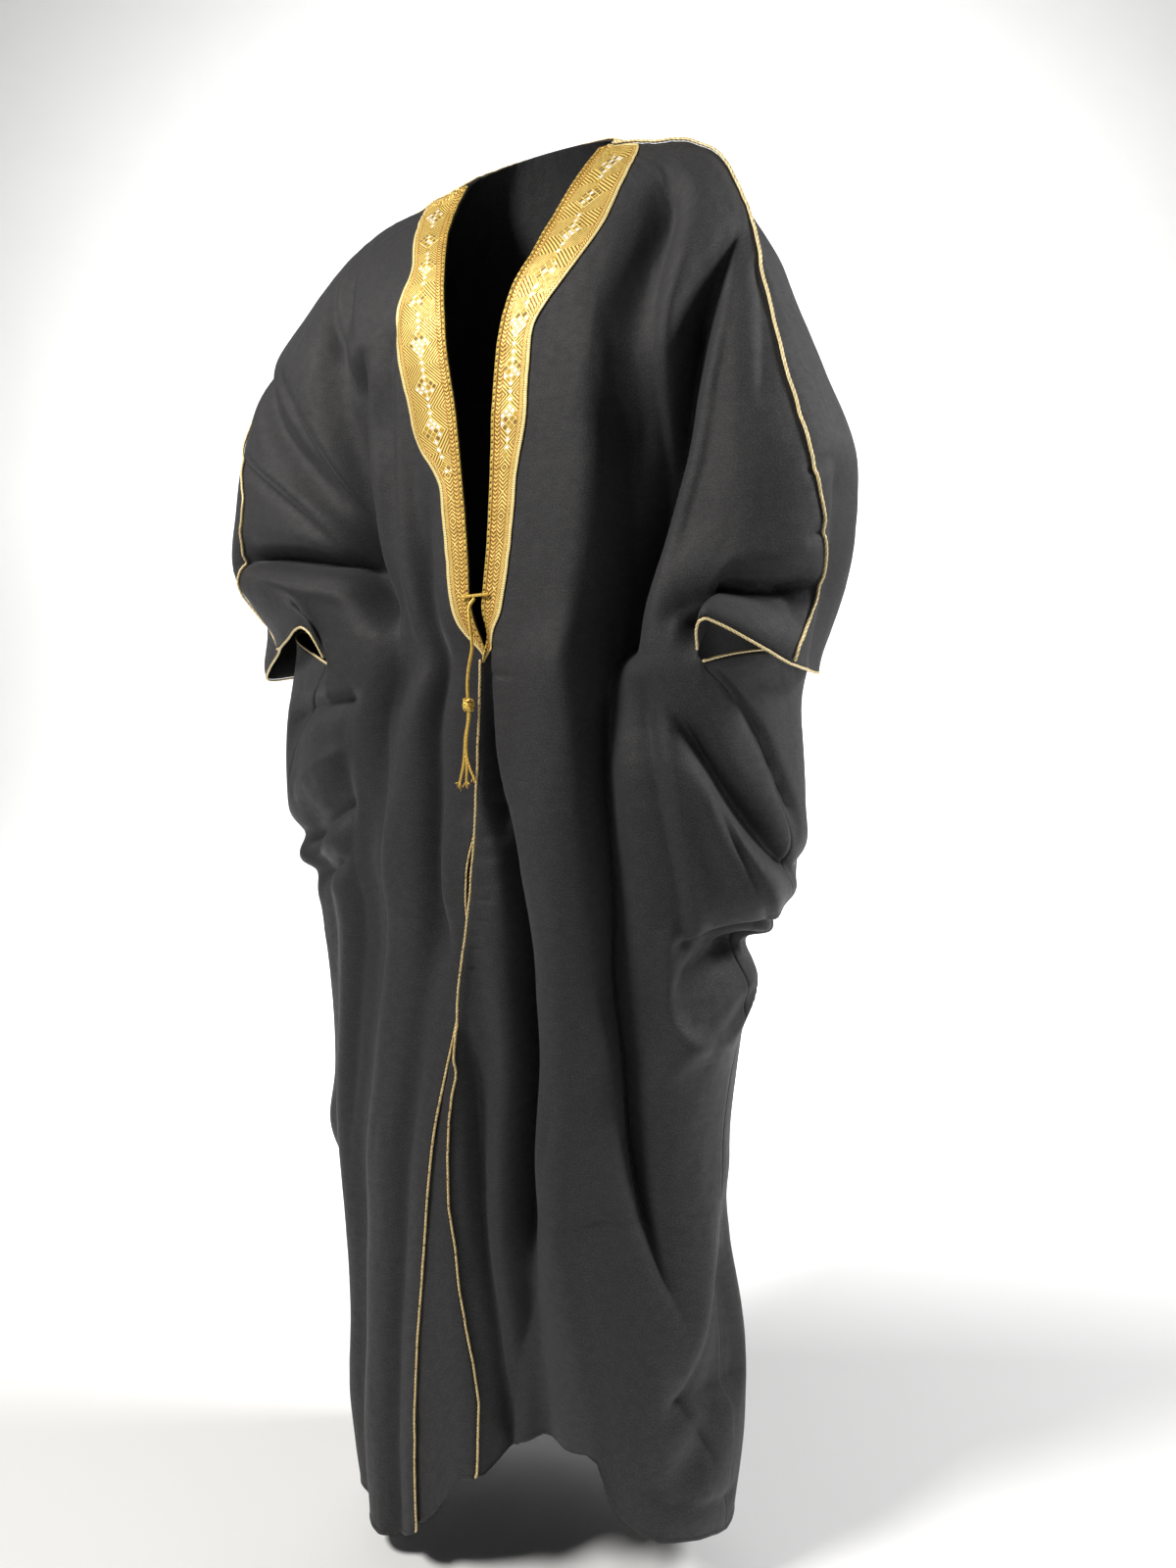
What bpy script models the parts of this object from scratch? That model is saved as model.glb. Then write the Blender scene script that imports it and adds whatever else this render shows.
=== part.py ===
"""Bisht: a wide open-fronted cloak, cut as a rectangle, worn over both arms.

The wearer faces -Y with +Z up, and +X is the wearer's left. The origin is where the
shoulders hold the cloak, between the two points where neck and shoulder meet. Every
panel is a loft: a table gives one ring for each level, from the front edge round the
side to the centre of the back, and the folds push its points in or out.
"""

import math

import bmesh
import bpy
import numpy as np
from mathutils import Vector

# ---------------------------------------------------------------- sizes, in metres
WALL = 0.0016            # cloth with its turned seams
SEAM = 0.0006            # each panel stops this far short of a seam line
CLEAR = 0.0004           # between a trim and the cloth that carries it
PIPING = 0.0034          # twisted cord over the arm seams
EDGE_CORD = 0.0028       # twisted cord down the front edges and round the cuffs
BAND_THICK = 0.0012      # embroidered band
NECK_BRAID = 0.011       # braid round the back of the neck
TIE = 0.0036             # the tie cord
STRAND = 0.0029          # its two ends below the knot
KNOT = (0.0062, 0.0062, 0.0088)      # half sizes of the knot
ROLL = 0.0026            # radius at which the front edge rolls over

CUFF_LEVEL = 10          # the ring where sleeves and body part
HEM_LEVEL = 21           # the last ring
UPPER_ROWS, LOWER_ROWS = 20, 24
BODY_COLS, SLEEVE_COLS = 15, 8       # front panel: body part, and what the slit frees
BACK_COLS, LIP_COLS, TIP_COL = 12, 6, 4
ROLL_COLS, FLAP_COLS = 4, 5

# ---------------------------------------------------------------- rings of the cloak
# front edge x, y, z | side x, y, z | centre back y, z | roundness of front and back
LEFT_RINGS = (
    # the shoulder
    (0.081, 0.012, 0.012, 0.092, 0.019, 0.016, 0.058, 0.044, 2.0, 2.0),
    (0.075, -0.020, -0.022, 0.139, 0.012, 0.005, 0.071, 0.016, 2.0, 2.0),
    (0.064, -0.050, -0.063, 0.184, 0.010, -0.006, 0.085, -0.024, 2.0, 2.1),
    (0.055, -0.080, -0.105, 0.219, 0.008, -0.033, 0.098, -0.070, 2.0, 2.3),
    # the sleeve
    (0.040, -0.100, -0.145, 0.241, 0.002, -0.085, 0.110, -0.122, 2.1, 2.7),
    (0.031, -0.110, -0.190, 0.262, -0.004, -0.145, 0.120, -0.180, 2.2, 3.0),
    (0.027, -0.118, -0.250, 0.294, -0.008, -0.220, 0.129, -0.245, 2.3, 3.2),
    (0.025, -0.125, -0.320, 0.326, -0.010, -0.305, 0.138, -0.315, 2.3, 3.2),
    (0.022, -0.132, -0.390, 0.328, -0.014, -0.380, 0.145, -0.385, 2.4, 3.0),
    (0.017, -0.138, -0.450, 0.316, -0.020, -0.445, 0.150, -0.445, 2.6, 2.7),
    (0.018, -0.143, -0.500, 0.308, -0.040, -0.508, 0.154, -0.505, 2.8, 2.7),
    # the loose cloth under the arm
    (0.013, -0.144, -0.560, 0.288, 0.010, -0.560, 0.158, -0.560, 2.3, 2.4),
    (0.006, -0.145, -0.640, 0.279, 0.020, -0.640, 0.160, -0.640, 2.3, 2.4),
    (-0.004, -0.145, -0.710, 0.270, 0.025, -0.715, 0.160, -0.710, 2.2, 2.3),
    (-0.014, -0.145, -0.765, 0.246, 0.020, -0.765, 0.154, -0.765, 2.2, 2.2),
    (-0.025, -0.145, -0.820, 0.218, 0.015, -0.820, 0.149, -0.820, 2.2, 2.2),
    # the skirt
    (-0.038, -0.146, -0.900, 0.208, 0.008, -0.900, 0.143, -0.900, 2.2, 2.2),
    (-0.064, -0.148, -1.010, 0.196, 0.000, -1.010, 0.138, -1.010, 2.2, 2.2),
    (-0.088, -0.150, -1.120, 0.202, -0.010, -1.120, 0.138, -1.120, 2.2, 2.2),
    (-0.102, -0.152, -1.230, 0.212, -0.010, -1.230, 0.140, -1.230, 2.2, 2.2),
    (-0.112, -0.154, -1.340, 0.208, -0.010, -1.340, 0.142, -1.340, 2.2, 2.2),
    (-0.115, -0.156, -1.450, 0.193, -0.010, -1.450, 0.144, -1.450, 2.2, 2.2),
)
RIGHT_RINGS = (
    (-0.080, 0.012, 0.010, -0.091, 0.019, 0.014, 0.058, 0.044, 2.0, 2.0),
    (-0.080, -0.010, -0.018, -0.141, 0.012, 0.000, 0.071, 0.016, 2.0, 2.0),
    (-0.068, -0.045, -0.058, -0.190, 0.010, -0.010, 0.085, -0.024, 2.0, 2.1),
    (-0.050, -0.078, -0.104, -0.239, 0.008, -0.031, 0.098, -0.070, 2.0, 2.3),
    (-0.038, -0.098, -0.146, -0.292, 0.000, -0.078, 0.110, -0.122, 2.0, 2.5),
    (-0.029, -0.109, -0.190, -0.350, -0.010, -0.143, 0.120, -0.180, 2.0, 2.6),
    (-0.017, -0.116, -0.250, -0.390, -0.020, -0.232, 0.129, -0.245, 2.0, 2.6),
    (-0.008, -0.123, -0.320, -0.398, -0.030, -0.305, 0.138, -0.315, 2.2, 2.6),
    (0.000, -0.131, -0.390, -0.400, -0.040, -0.376, 0.145, -0.385, 2.2, 2.6),
    (0.005, -0.138, -0.450, -0.350, -0.055, -0.430, 0.150, -0.445, 2.2, 2.5),
    (0.013, -0.139, -0.500, -0.312, -0.070, -0.470, 0.154, -0.505, 2.2, 2.4),
    (0.006, -0.139, -0.560, -0.345, -0.035, -0.560, 0.158, -0.560, 2.2, 2.2),
    (-0.001, -0.140, -0.640, -0.340, -0.030, -0.640, 0.160, -0.640, 2.2, 2.2),
    (-0.011, -0.140, -0.710, -0.330, -0.030, -0.710, 0.160, -0.710, 2.2, 2.2),
    (-0.021, -0.140, -0.765, -0.298, -0.030, -0.765, 0.154, -0.765, 2.2, 2.2),
    (-0.033, -0.141, -0.820, -0.290, -0.030, -0.820, 0.149, -0.820, 2.2, 2.2),
    (-0.045, -0.152, -0.900, -0.284, -0.030, -0.900, 0.143, -0.900, 2.2, 2.2),
    (-0.067, -0.158, -1.010, -0.286, -0.030, -1.010, 0.138, -1.010, 2.2, 2.2),
    (-0.082, -0.160, -1.120, -0.276, -0.030, -1.120, 0.138, -1.120, 2.2, 2.2),
    (-0.096, -0.162, -1.230, -0.272, -0.030, -1.230, 0.140, -1.230, 2.2, 2.2),
    (-0.105, -0.164, -1.340, -0.280, -0.030, -1.340, 0.142, -1.340, 2.2, 2.2),
    (-0.108, -0.166, -1.450, -0.268, -0.030, -1.450, 0.144, -1.450, 2.2, 2.2),
)
RINGS = {"left": np.array(LEFT_RINGS), "right": np.array(RIGHT_RINGS)}

# u, the place round a ring, is 0 at the front edge, 1 at the side and 2 at the back
SLIT = {"left": 0.66, "right": 0.60}            # where the cuff slit ends at the wrist
LOWER_LIP = {"left": 0.030, "right": 0.012}     # how far its lower lip lies in
SEAM_SWING = 0.12        # the side seam runs out this much of u a level, to the side
# the arm seam: level | u
ARM_SEAM = {
    "left": ((0.0, 1.00), (4.0, 1.00), (5.0, 0.96), (6.0, 0.90), (7.0, 0.885), (8.0, 0.945),
             (8.8, 1.00), (9.3, 0.98), (10.0, 0.92)),
    "right": ((0.0, 1.00), (1.5, 1.04), (5.0, 1.04), (6.0, 0.93), (6.6, 0.82), (7.2, 0.81),
              (8.0, 0.86), (9.0, 0.97), (10.0, 1.00)),
}
# u | how far the upper lip lies up, out and forward of its ring
LIP = {
    "left": ((0.66, 0.000, 0.000, 0.000), (0.69, 0.028, -0.012, 0.010),
             (0.725, 0.044, -0.016, 0.014), (0.77, 0.036, -0.012, 0.012),
             (0.83, 0.021, -0.006, 0.006), (0.91, 0.004, 0.000, 0.000),
             (1.00, 0.000, 0.000, 0.000), (1.14, -0.008, 0.000, 0.000),
             (1.28, -0.008, 0.000, 0.000), (1.45, 0.000, 0.000, 0.000)),
    "right": ((0.60, 0.000, 0.000, 0.000), (0.635, 0.024, -0.006, 0.008),
              (0.68, 0.042, -0.008, 0.014), (0.72, 0.040, -0.004, 0.014),
              (0.78, 0.026, 0.000, 0.006), (0.88, 0.010, 0.000, 0.000),
              (1.00, 0.000, 0.000, 0.000), (1.06, -0.020, 0.050, 0.000),
              (1.12, -0.036, 0.090, 0.000), (1.20, -0.024, 0.055, 0.000),
              (1.28, -0.010, 0.016, 0.000), (1.45, 0.000, 0.000, 0.000)),
}
# folds that run down the cloth
# side, first and last level | u at its top, middle and foot | width, depth in metres
FOLDS = (
    # between the arm and the body
    ("left", 3.6, 10.6, 0.92, 0.56, 0.40, 0.024, -0.024),
    ("left", 2.8, 8.8, 0.84, 0.62, 0.46, 0.020, -0.008),
    ("left", 1.8, 9.5, 0.66, 0.44, 0.34, 0.024, -0.012),
    ("right", 4.4, 9.4, 1.15, 0.47, 0.36, 0.024, -0.018),
    ("right", 2.4, 13.0, 0.72, 0.33, 0.40, 0.022, -0.020),
    # the sleeve's fullness behind the arm
    ("left", 3.4, 10.0, 1.25, 1.30, 1.28, 0.065, 0.022),
    # down the front, beside the opening
    ("left", 8.5, 25.0, -0.08, 0.32, 0.60, 0.022, -0.022),
    ("left", 13.5, 24.0, 0.00, 0.21, 0.42, 0.018, -0.012),
    ("left", 9.5, 25.0, 0.15, 0.43, 0.85, 0.030, 0.012),
    ("left", 8.0, 18.6, 0.40, 0.42, 0.86, 0.026, -0.026),
    ("right", 3.5, 24.0, 0.16, 0.14, 0.12, 0.014, -0.007),
    ("right", 5.0, 24.0, 0.26, 0.24, 0.24, 0.018, -0.010),
    ("right", 10.0, 25.0, 0.42, 0.47, 0.50, 0.026, -0.016),
    ("right", 11.0, 25.0, 0.72, 0.76, 0.78, 0.030, -0.014),
    # from the wrist to the hip
    ("left", 11.0, 15.0, 0.62, 0.80, 1.20, 0.024, 0.012),
    ("left", 10.6, 15.2, 0.52, 0.60, 0.78, 0.020, 0.010),
    # at the side of the skirt
    ("left", 17.2, 20.8, 1.10, 0.98, 0.74, 0.030, -0.013),
    # down the back
    ("left", 4.0, 25.0, 1.28, 1.30, 1.30, 0.030, -0.014),
    ("left", 3.0, 25.0, 1.52, 1.56, 1.58, 0.034, -0.016),
    ("left", 5.0, 25.0, 1.78, 1.80, 1.80, 0.028, -0.011),
    ("right", 4.5, 25.0, 1.30, 1.28, 1.32, 0.030, -0.014),
    ("right", 3.0, 25.0, 1.58, 1.55, 1.60, 0.032, -0.016),
    ("right", 6.0, 25.0, 1.80, 1.78, 1.82, 0.028, -0.011),
)
# folds that run across it
# side, first and last u | level at its start, middle and end | width in levels, depth
SWAGS = (
    ("left", 0.50, 0.98, 9.10, 8.75, 8.50, 0.22, -0.014),
    ("left", 0.56, 1.25, 10.70, 12.70, 12.90, 0.30, -0.018),
    ("left", 0.66, 1.60, 12.80, 13.10, 12.80, 0.55, 0.012),
    ("left", 0.58, 1.55, 14.10, 14.65, 14.40, 0.36, -0.020),
    ("left", 0.60, 1.35, 16.30, 15.25, 15.00, 0.30, 0.012),
    ("right", 0.30, 0.88, 8.05, 7.85, 7.60, 0.22, -0.014),
    ("right", 0.45, 1.15, 11.70, 12.60, 13.00, 0.28, -0.016),
    ("right", 0.50, 1.20, 12.70, 13.50, 13.80, 0.24, -0.012),
    ("right", 0.70, 1.40, 17.30, 17.20, 17.10, 0.36, 0.012),
)
# u | height of the hem
HEM = {
    "left": ((0.00, -1.440), (0.05, -1.430), (0.10, -1.410), (0.15, -1.378),
             (0.18, -1.362), (0.24, -1.362), (0.30, -1.338), (0.36, -1.317),
             (0.42, -1.310), (0.50, -1.312), (0.57, -1.305), (0.60, -1.312),
             (0.63, -1.355), (0.66, -1.378), (0.70, -1.396), (0.76, -1.413),
             (0.84, -1.420), (0.93, -1.430), (1.02, -1.444), (1.40, -1.450),
             (2.00, -1.455)),
    "right": ((0.00, -1.445), (0.06, -1.455), (0.15, -1.466), (0.25, -1.473),
              (0.40, -1.470), (0.60, -1.465), (1.00, -1.458), (2.00, -1.455)),
}
# the left front edge rolls outward below the waist: level | width | turn in degrees
FLAP = ((15.9, 0.000, 0), (16.3, 0.007, 100), (16.7, 0.020, 180), (17.0, 0.028, 180),
        (18.0, 0.057, 180), (19.0, 0.082, 180), (20.0, 0.104, 180), (21.0, 0.109, 180))
# embroidered band: level | width on the left, width on the right
BAND = ((0.0, 0.060, 0.060), (2.8, 0.070, 0.044), (3.9, 0.060, 0.066), (4.8, 0.038, 0.066),
        (6.3, 0.040, 0.060), (6.9, 0.031, 0.028), (8.2, 0.027, 0.027), (9.1, 0.023, 0.023),
        (9.9, 0.002, 0.002))


def smooth(t):
    t = np.clip(t, 0.0, 1.0)
    return t * t * (3 - 2 * t)


def bend(t, a, b, c):
    """A curve that is a at t 0, b at a half and c at 1."""
    return a * (1 - t) * (1 - 2 * t) + 4 * b * t * (1 - t) + c * t * (2 * t - 1)


def ring_at(side, level):
    """The table row at a level, read on a smooth curve through the rows."""
    table = RINGS[side]
    last = len(table) - 1
    i = int(min(max(level, 0), last - 1e-9))
    f = level - i
    p0, p1, p2, p3 = table[max(i - 1, 0)], table[i], table[i + 1], table[min(i + 2, last)]
    return 0.5 * (2 * p1 + (p2 - p0) * f + (2 * p0 - 5 * p1 + 4 * p2 - p3) * f * f
                  + (3 * p1 - 3 * p2 + p3 - p0) * f ** 3)


def quarter(row, a, back):
    """Points of the front or back quarter of a ring, by their angle from its middle."""
    fx, fy, fz, sx, sy, sz, by, bz, nf, nb = row
    c, s = np.maximum(np.cos(a), 0), np.maximum(np.sin(a), 0)
    if back:
        return np.stack((sx * s ** (2 / nb), sy + (by - sy) * c ** (2 / nb),
                         bz + (sz - bz) * (1 - c)), -1)
    return np.stack((fx + (sx - fx) * s ** (2 / nf), sy + (fy - sy) * c ** (2 / nf),
                     fz + (sz - fz) * (1 - c)), -1)


def plain(side, level, u):
    """Points of the plain cloak, with equal steps of u along equal lengths of cloth.

    The second value is the length of the quarter that each point lies on.
    """
    row = ring_at(side, level)
    u = np.asarray(u, float)
    a = np.linspace(0, 1, 129)
    a = (1 - np.cos(a * math.pi)) * math.pi / 4
    out, length = np.empty((len(u), 3)), np.empty(len(u))
    for back in (False, True):
        line = quarter(row, a, back)
        run = np.concatenate(((0,), np.cumsum(np.linalg.norm(np.diff(line, axis=0), axis=1))))
        pick = (u > 1) == back
        share = np.clip(2 - u if back else u, 0, 1)[pick]
        out[pick] = quarter(row, np.interp(share * run[-1], run, a), back)
        length[pick] = run[-1]
    hem = np.array(HEM[side])
    low = max(0.0, (level - 16) / (HEM_LEVEL - 16)) ** 1.5
    out[:, 2] += (np.interp(u, hem[:, 0], hem[:, 1]) + 1.45) * low
    return out, length


def outward(side, level, u):
    u = np.asarray(u, float)
    along = plain(side, level, np.minimum(u + 0.03, 2))[0] \
        - plain(side, level, np.maximum(u - 0.03, 0))[0]
    down = plain(side, min(level + 0.15, HEM_LEVEL), u)[0] \
        - plain(side, max(level - 0.15, 0), u)[0]
    n = np.cross(down, along) if side == "left" else np.cross(along, down)
    return n / np.maximum(np.linalg.norm(n, axis=1), 1e-9)[:, None]


def relief(side, level, u, length):
    total = np.zeros(len(u))
    for where, top, low, u0, u1, u2, width, depth in FOLDS:
        t = (level - top) / (low - top)
        if where == side and 0 < t < 1:
            away = (u - bend(t, u0, u1, u2)) * length
            total += depth * smooth(t / 0.2) * smooth((1 - t) / 0.2) * np.exp(-(away / width) ** 2)
    for where, start, end, l0, l1, l2, width, depth in SWAGS:
        t = (u - start) / (end - start)
        if where == side:
            away = level - bend(t, l0, l1, l2)
            ends = smooth(t / 0.2) * smooth((1 - t) / 0.2)
            total += depth * ends * np.exp(-(away / width) ** 2)
    return total * smooth((2 - u) / 0.1)


def arm_seam(side, level):
    """Where the arm seam lies: along the top of the arm and down to the cuff."""
    table = np.array(ARM_SEAM[side])
    return sum(float(np.interp(level + d, table[:, 0], table[:, 1])) for d in (-0.3, 0, 0.3)) / 3


def slit_tip(side):
    """The outer end of the cuff slit, behind the arm seam."""
    seam = arm_seam(side, CUFF_LEVEL)
    return seam + (2 - seam) * TIP_COL / BACK_COLS


def cloth(side, level, u, region="upper"):
    """Points of the folded cloth. The slit frees an upper lip and a lower one."""
    u = np.asarray(u, float)
    p, length = plain(side, level, u)
    p = p + outward(side, level, u) * relief(side, level, u, length)[:, None]
    start, tip = SLIT[side], slit_tip(side)
    sign = 1 if side == "left" else -1
    if region == "upper" and level > 7:
        table = np.array(LIP[side])
        up, out, forward = (np.interp(u, table[:, 0], table[:, k]) for k in (1, 2, 3))
        w = smooth((level - 7) / 3) ** 2
        p = p + np.stack((sign * out, -forward, up), -1) * w
    if region == "lower" and level < 12.5:
        t = np.clip((u - start) / (tip - start), 0, 1)
        w = np.sin(math.pi * t) * smooth((12.5 - level) / 2.5)
        p = p + np.stack((-sign * LOWER_LIP[side] * w, 0.020 * w, 0.014 * w), -1)
    p[u >= 2, 0] = 0.0
    return p


def seam_place(side, level):
    """Where the side seam lies: it leaves the wrist and swings out to the side."""
    start = SLIT[side]
    return min(start + SEAM_SWING * (level - CUFF_LEVEL), 1.0)


def level_of(row, lower):
    if lower:
        return CUFF_LEVEL + (HEM_LEVEL - CUFF_LEVEL) * row / LOWER_ROWS
    return CUFF_LEVEL * row / UPPER_ROWS


def front_grid(side):
    """Rows of the front panel: full width above the cuff, the body part below it."""
    start = SLIT[side]
    upper, lower = [], []
    for i in range(UPPER_ROWS + 1):
        level = level_of(i, False)
        w = float(smooth(level / CUFF_LEVEL))
        knee = (1 - w) * BODY_COLS / (BODY_COLS + SLEEVE_COLS) + w * start
        u = np.concatenate((np.linspace(0, knee, BODY_COLS + 1),
                            np.linspace(knee, arm_seam(side, level), SLEEVE_COLS + 1)[1:]))
        upper.append(cloth(side, level, u))
    for i in range(LOWER_ROWS + 1):
        level = level_of(i, True)
        u = np.linspace(0, seam_place(side, level), BODY_COLS + 1)
        lower.append(cloth(side, level, u, "lower"))
    lower[0] = upper[-1][:BODY_COLS + 1].copy()
    return upper, lower


def back_grid(side):
    """Rows of half the back: from the arm seam, then from the side seam and the lip."""
    tip = slit_tip(side)
    upper, lower = [], []
    for i in range(UPPER_ROWS + 1):
        level = level_of(i, False)
        upper.append(cloth(side, level, np.linspace(arm_seam(side, level), 2, BACK_COLS + 1)))
    rest = BACK_COLS - TIP_COL
    for i in range(LOWER_ROWS + 1):
        level = level_of(i, True)
        edge = seam_place(side, level)
        w = float(smooth((level - CUFF_LEVEL) / 4))
        knee = tip * (1 - w) + (edge + (2 - edge) * LIP_COLS / (LIP_COLS + rest)) * w
        u = np.concatenate((np.linspace(edge, knee, LIP_COLS + 1),
                            np.linspace(knee, 2, rest + 1)[1:]))
        lower.append(cloth(side, level, u, "lower"))
    lower[0][LIP_COLS:] = upper[-1][TIP_COL:]
    return upper, lower


def unit(v):
    return v / max(np.linalg.norm(v), 1e-12)


def grid_normals(rows, side):
    g = np.array(rows)
    n = np.cross(np.gradient(g, axis=0), np.gradient(g, axis=1))
    n = n if side == "left" else -n
    return n / np.maximum(np.linalg.norm(n, axis=2), 1e-12)[:, :, None]


def along_row(row, normals, places, lift):
    """Points at lengths along a row of the panel, moved out from it."""
    run = np.concatenate(((0,), np.cumsum(np.linalg.norm(np.diff(row, axis=0), axis=1))))
    pick = np.array([np.interp(places, run, row[:, k]) for k in range(3)]).T
    out = np.array([np.interp(places, run, normals[:, k]) for k in range(3)]).T
    return pick + out / np.linalg.norm(out, axis=1)[:, None] * lift


def flap_grid(lower):
    """The rolled front edge: first round the roll, then back over the panel."""
    table = np.array(FLAP)
    normals = grid_normals(lower, "left")
    rows = []
    for i, row in enumerate(lower):
        level = level_of(i, True)
        if level < table[0, 0]:
            continue
        if not rows:
            rows.append([row[0]] * (ROLL_COLS + FLAP_COLS + 1))
            continue
        width = float(np.interp(level, table[:, 0], table[:, 1]))
        turn = math.radians(float(np.interp(level, table[:, 0], table[:, 2])))
        edge, away, out = row[0], unit(row[0] - row[1]), normals[i][0]
        arc = min(ROLL * turn, width * 0.6)
        r = arc / turn
        line = [edge]
        for c in range(1, ROLL_COLS + 1):
            a = turn * c / ROLL_COLS
            line.append(edge + away * r * math.sin(a) + out * r * (1 - math.cos(a)))
        for c in range(1, FLAP_COLS + 1):
            over = (width - arc) * c / FLAP_COLS
            free = line[ROLL_COLS] + away * over * math.cos(turn) + out * over * math.sin(turn)
            laid = along_row(row, normals[i], np.array((over,)), 2 * ROLL)[0]
            line.append(free + (laid - free) * float(smooth((turn - 2.2) / 0.8)))
        rows.append(line)
    return rows


# ---------------------------------------------------------------- Blender helpers
for old in list(bpy.data.objects):
    bpy.data.objects.remove(old, do_unlink=True)
cloak = bpy.data.collections.new("bisht")
bpy.context.scene.collection.children.link(cloak)


def material(name, colour, roughness, metallic):
    m = bpy.data.materials.new(name)
    m.use_nodes = True
    shader = m.node_tree.nodes["Principled BSDF"]
    shader.inputs["Base Color"].default_value = (*colour, 1)
    shader.inputs["Roughness"].default_value = roughness
    shader.inputs["Metallic"].default_value = metallic
    return m


def panel(name, grids, mat, wall):
    """A loft of grids of points, welded where they coincide, with a wall round it."""
    bm = bmesh.new()
    found = {}
    for rows, flip in grids:
        keys = [[tuple(round(float(c) * 1e5) for c in p) for p in row] for row in rows]
        for key_row, row in zip(keys, rows):
            for key, p in zip(key_row, row):
                if key not in found:
                    found[key] = bm.verts.new(Vector([float(c) for c in p]))
        for a, b in zip(keys, keys[1:]):
            for j in range(len(a) - 1):
                loop = list(dict.fromkeys((a[j], b[j], b[j + 1], a[j + 1])))
                if len(loop) > 2:
                    bm.faces.new([found[k] for k in (loop[::-1] if flip else loop)])
    mesh = bpy.data.meshes.new(name)
    bm.to_mesh(mesh)
    bm.free()
    mesh.shade_smooth()
    mesh.materials.append(mat)
    obj = bpy.data.objects.new(name, mesh)
    cloak.objects.link(obj)
    shell = obj.modifiers.new("wall", "SOLIDIFY")
    shell.thickness = wall
    shell.offset = 0.0
    return obj


def cord(name, points, diameter, mat):
    curve = bpy.data.curves.new(name, "CURVE")
    curve.dimensions = "3D"
    spline = curve.splines.new("POLY")
    spline.points.add(len(points) - 1)
    for point, p in zip(spline.points, points):
        point.co = (*[float(c) for c in p], 1)
    curve.bevel_depth = diameter / 2
    curve.bevel_resolution = 2
    curve.use_fill_caps = True
    curve.materials.append(mat)
    obj = bpy.data.objects.new(name, curve)
    cloak.objects.link(obj)
    return obj


def trimmed(points, start, end):
    """A line of points, shortened by a length at each end."""
    p = np.array(points, float)
    run = np.concatenate(((0,), np.cumsum(np.linalg.norm(np.diff(p, axis=0), axis=1))))
    keep = (run > start + 0.002) & (run < run[-1] - end - 0.002)
    at = np.concatenate(((start,), run[keep], (run[-1] - end,)))
    return np.stack([np.interp(at, run, p[:, k]) for k in range(3)], -1)


def stop_short(rows, col, by):
    """Moves a column of points towards its neighbour, to stop short of a seam."""
    step = 1 if col == 0 else -1
    for row in rows:
        row[col] = row[col] + unit(row[col + step] - row[col]) * by


def beyond(edge, inner, by):
    """A line that runs along an edge, square out from the cloth inside it."""
    e, n = np.array(edge), np.array(inner)
    along = np.gradient(e, axis=0)
    along = along / np.maximum(np.linalg.norm(along, axis=1), 1e-9)[:, None]
    out = e - n
    out = out - along * (out * along).sum(1)[:, None]
    out = out / np.maximum(np.linalg.norm(out, axis=1), 1e-9)[:, None]
    line = [e[0] + out[0] * by]
    for a, b, oa, ob in zip(e, e[1:], out, out[1:]):
        turned = (1 - float(oa @ ob)) / 2      # wide of the edge where the cloth rolls over
        if turned > 0.1:
            line.append((a + b) / 2 + unit(oa + ob) * by * (1 + 0.8 * turned))
        line.append(b + ob * by)
    return line


# ---------------------------------------------------------------- the panels
black = material("black_cloth", (0.012, 0.012, 0.013), 0.62, 0.0)
gold = material("gold_thread", (0.62, 0.38, 0.09), 0.38, 0.75)
pale_gold = material("pale_gold_cord", (0.72, 0.55, 0.26), 0.42, 0.6)

fronts, backs, flap = {}, {}, []
for side in ("left", "right"):
    flip = side == "left"
    fronts[side] = front_grid(side)
    upper, lower = ([row.copy() for row in rows] for rows in fronts[side])
    stop_short(upper, -1, SEAM)
    stop_short(lower[1:], -1, SEAM)
    grids = [(upper, flip), (lower, flip)]
    if side == "left":
        flap = flap_grid(lower)
        grids.append((flap, not flip))
    panel("front_" + side, grids, black, WALL)

grids = []
for side in ("left", "right"):
    flip = side == "left"
    backs[side] = back_grid(side)
    upper, lower = ([row.copy() for row in rows] for rows in backs[side])
    stop_short(upper, 0, SEAM)
    stop_short(lower[1:], 0, SEAM)
    lower[0][0] = lower[0][0] + unit(lower[0][1] - lower[0][0]) * SEAM
    grids += [(upper, flip), (lower, flip)]
panel("back", grids, black, WALL)

# ---------------------------------------------------------------- cords on the seams
for side in ("left", "right"):
    upper, lower = fronts[side]
    lift = WALL / 2 + PIPING / 2 + 2 * CLEAR
    behind = backs[side][0]
    line = []
    for i in range(UPPER_ROWS + 1):
        down = upper[min(i + 1, UPPER_ROWS)][-1] - upper[max(i - 1, 0)][-1]
        out = np.cross(down, behind[i][1] - upper[i][-2]) * (1 if side == "left" else -1)
        line.append(upper[i][-1] + unit(out) * lift)
    cord("arm_seam_piping_" + side, trimmed(line, 0.0, 0.006), PIPING, pale_gold)

    # round the cuff, hung below the upper lip and laid on the lower one
    back_up, back_low = backs[side]
    drop = EDGE_CORD / 2 + 2 * CLEAR
    lip = list(upper[-1][BODY_COLS + 1:]) + list(back_up[-1][1:TIP_COL + 1])
    inside = list(upper[-2][BODY_COLS + 1:]) + list(back_up[-2][1:TIP_COL + 1])
    cord("cuff_piping_%s_over" % side, trimmed(beyond(lip, inside, drop), 0.008, 0.020),
         EDGE_CORD, pale_gold)
    lip, inside = back_low[0][:LIP_COLS + 1], back_low[1][:LIP_COLS + 1]
    cord("cuff_piping_%s_under" % side, trimmed(beyond(lip, inside, drop), 0.018, 0.020),
         EDGE_CORD, pale_gold)

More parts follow.
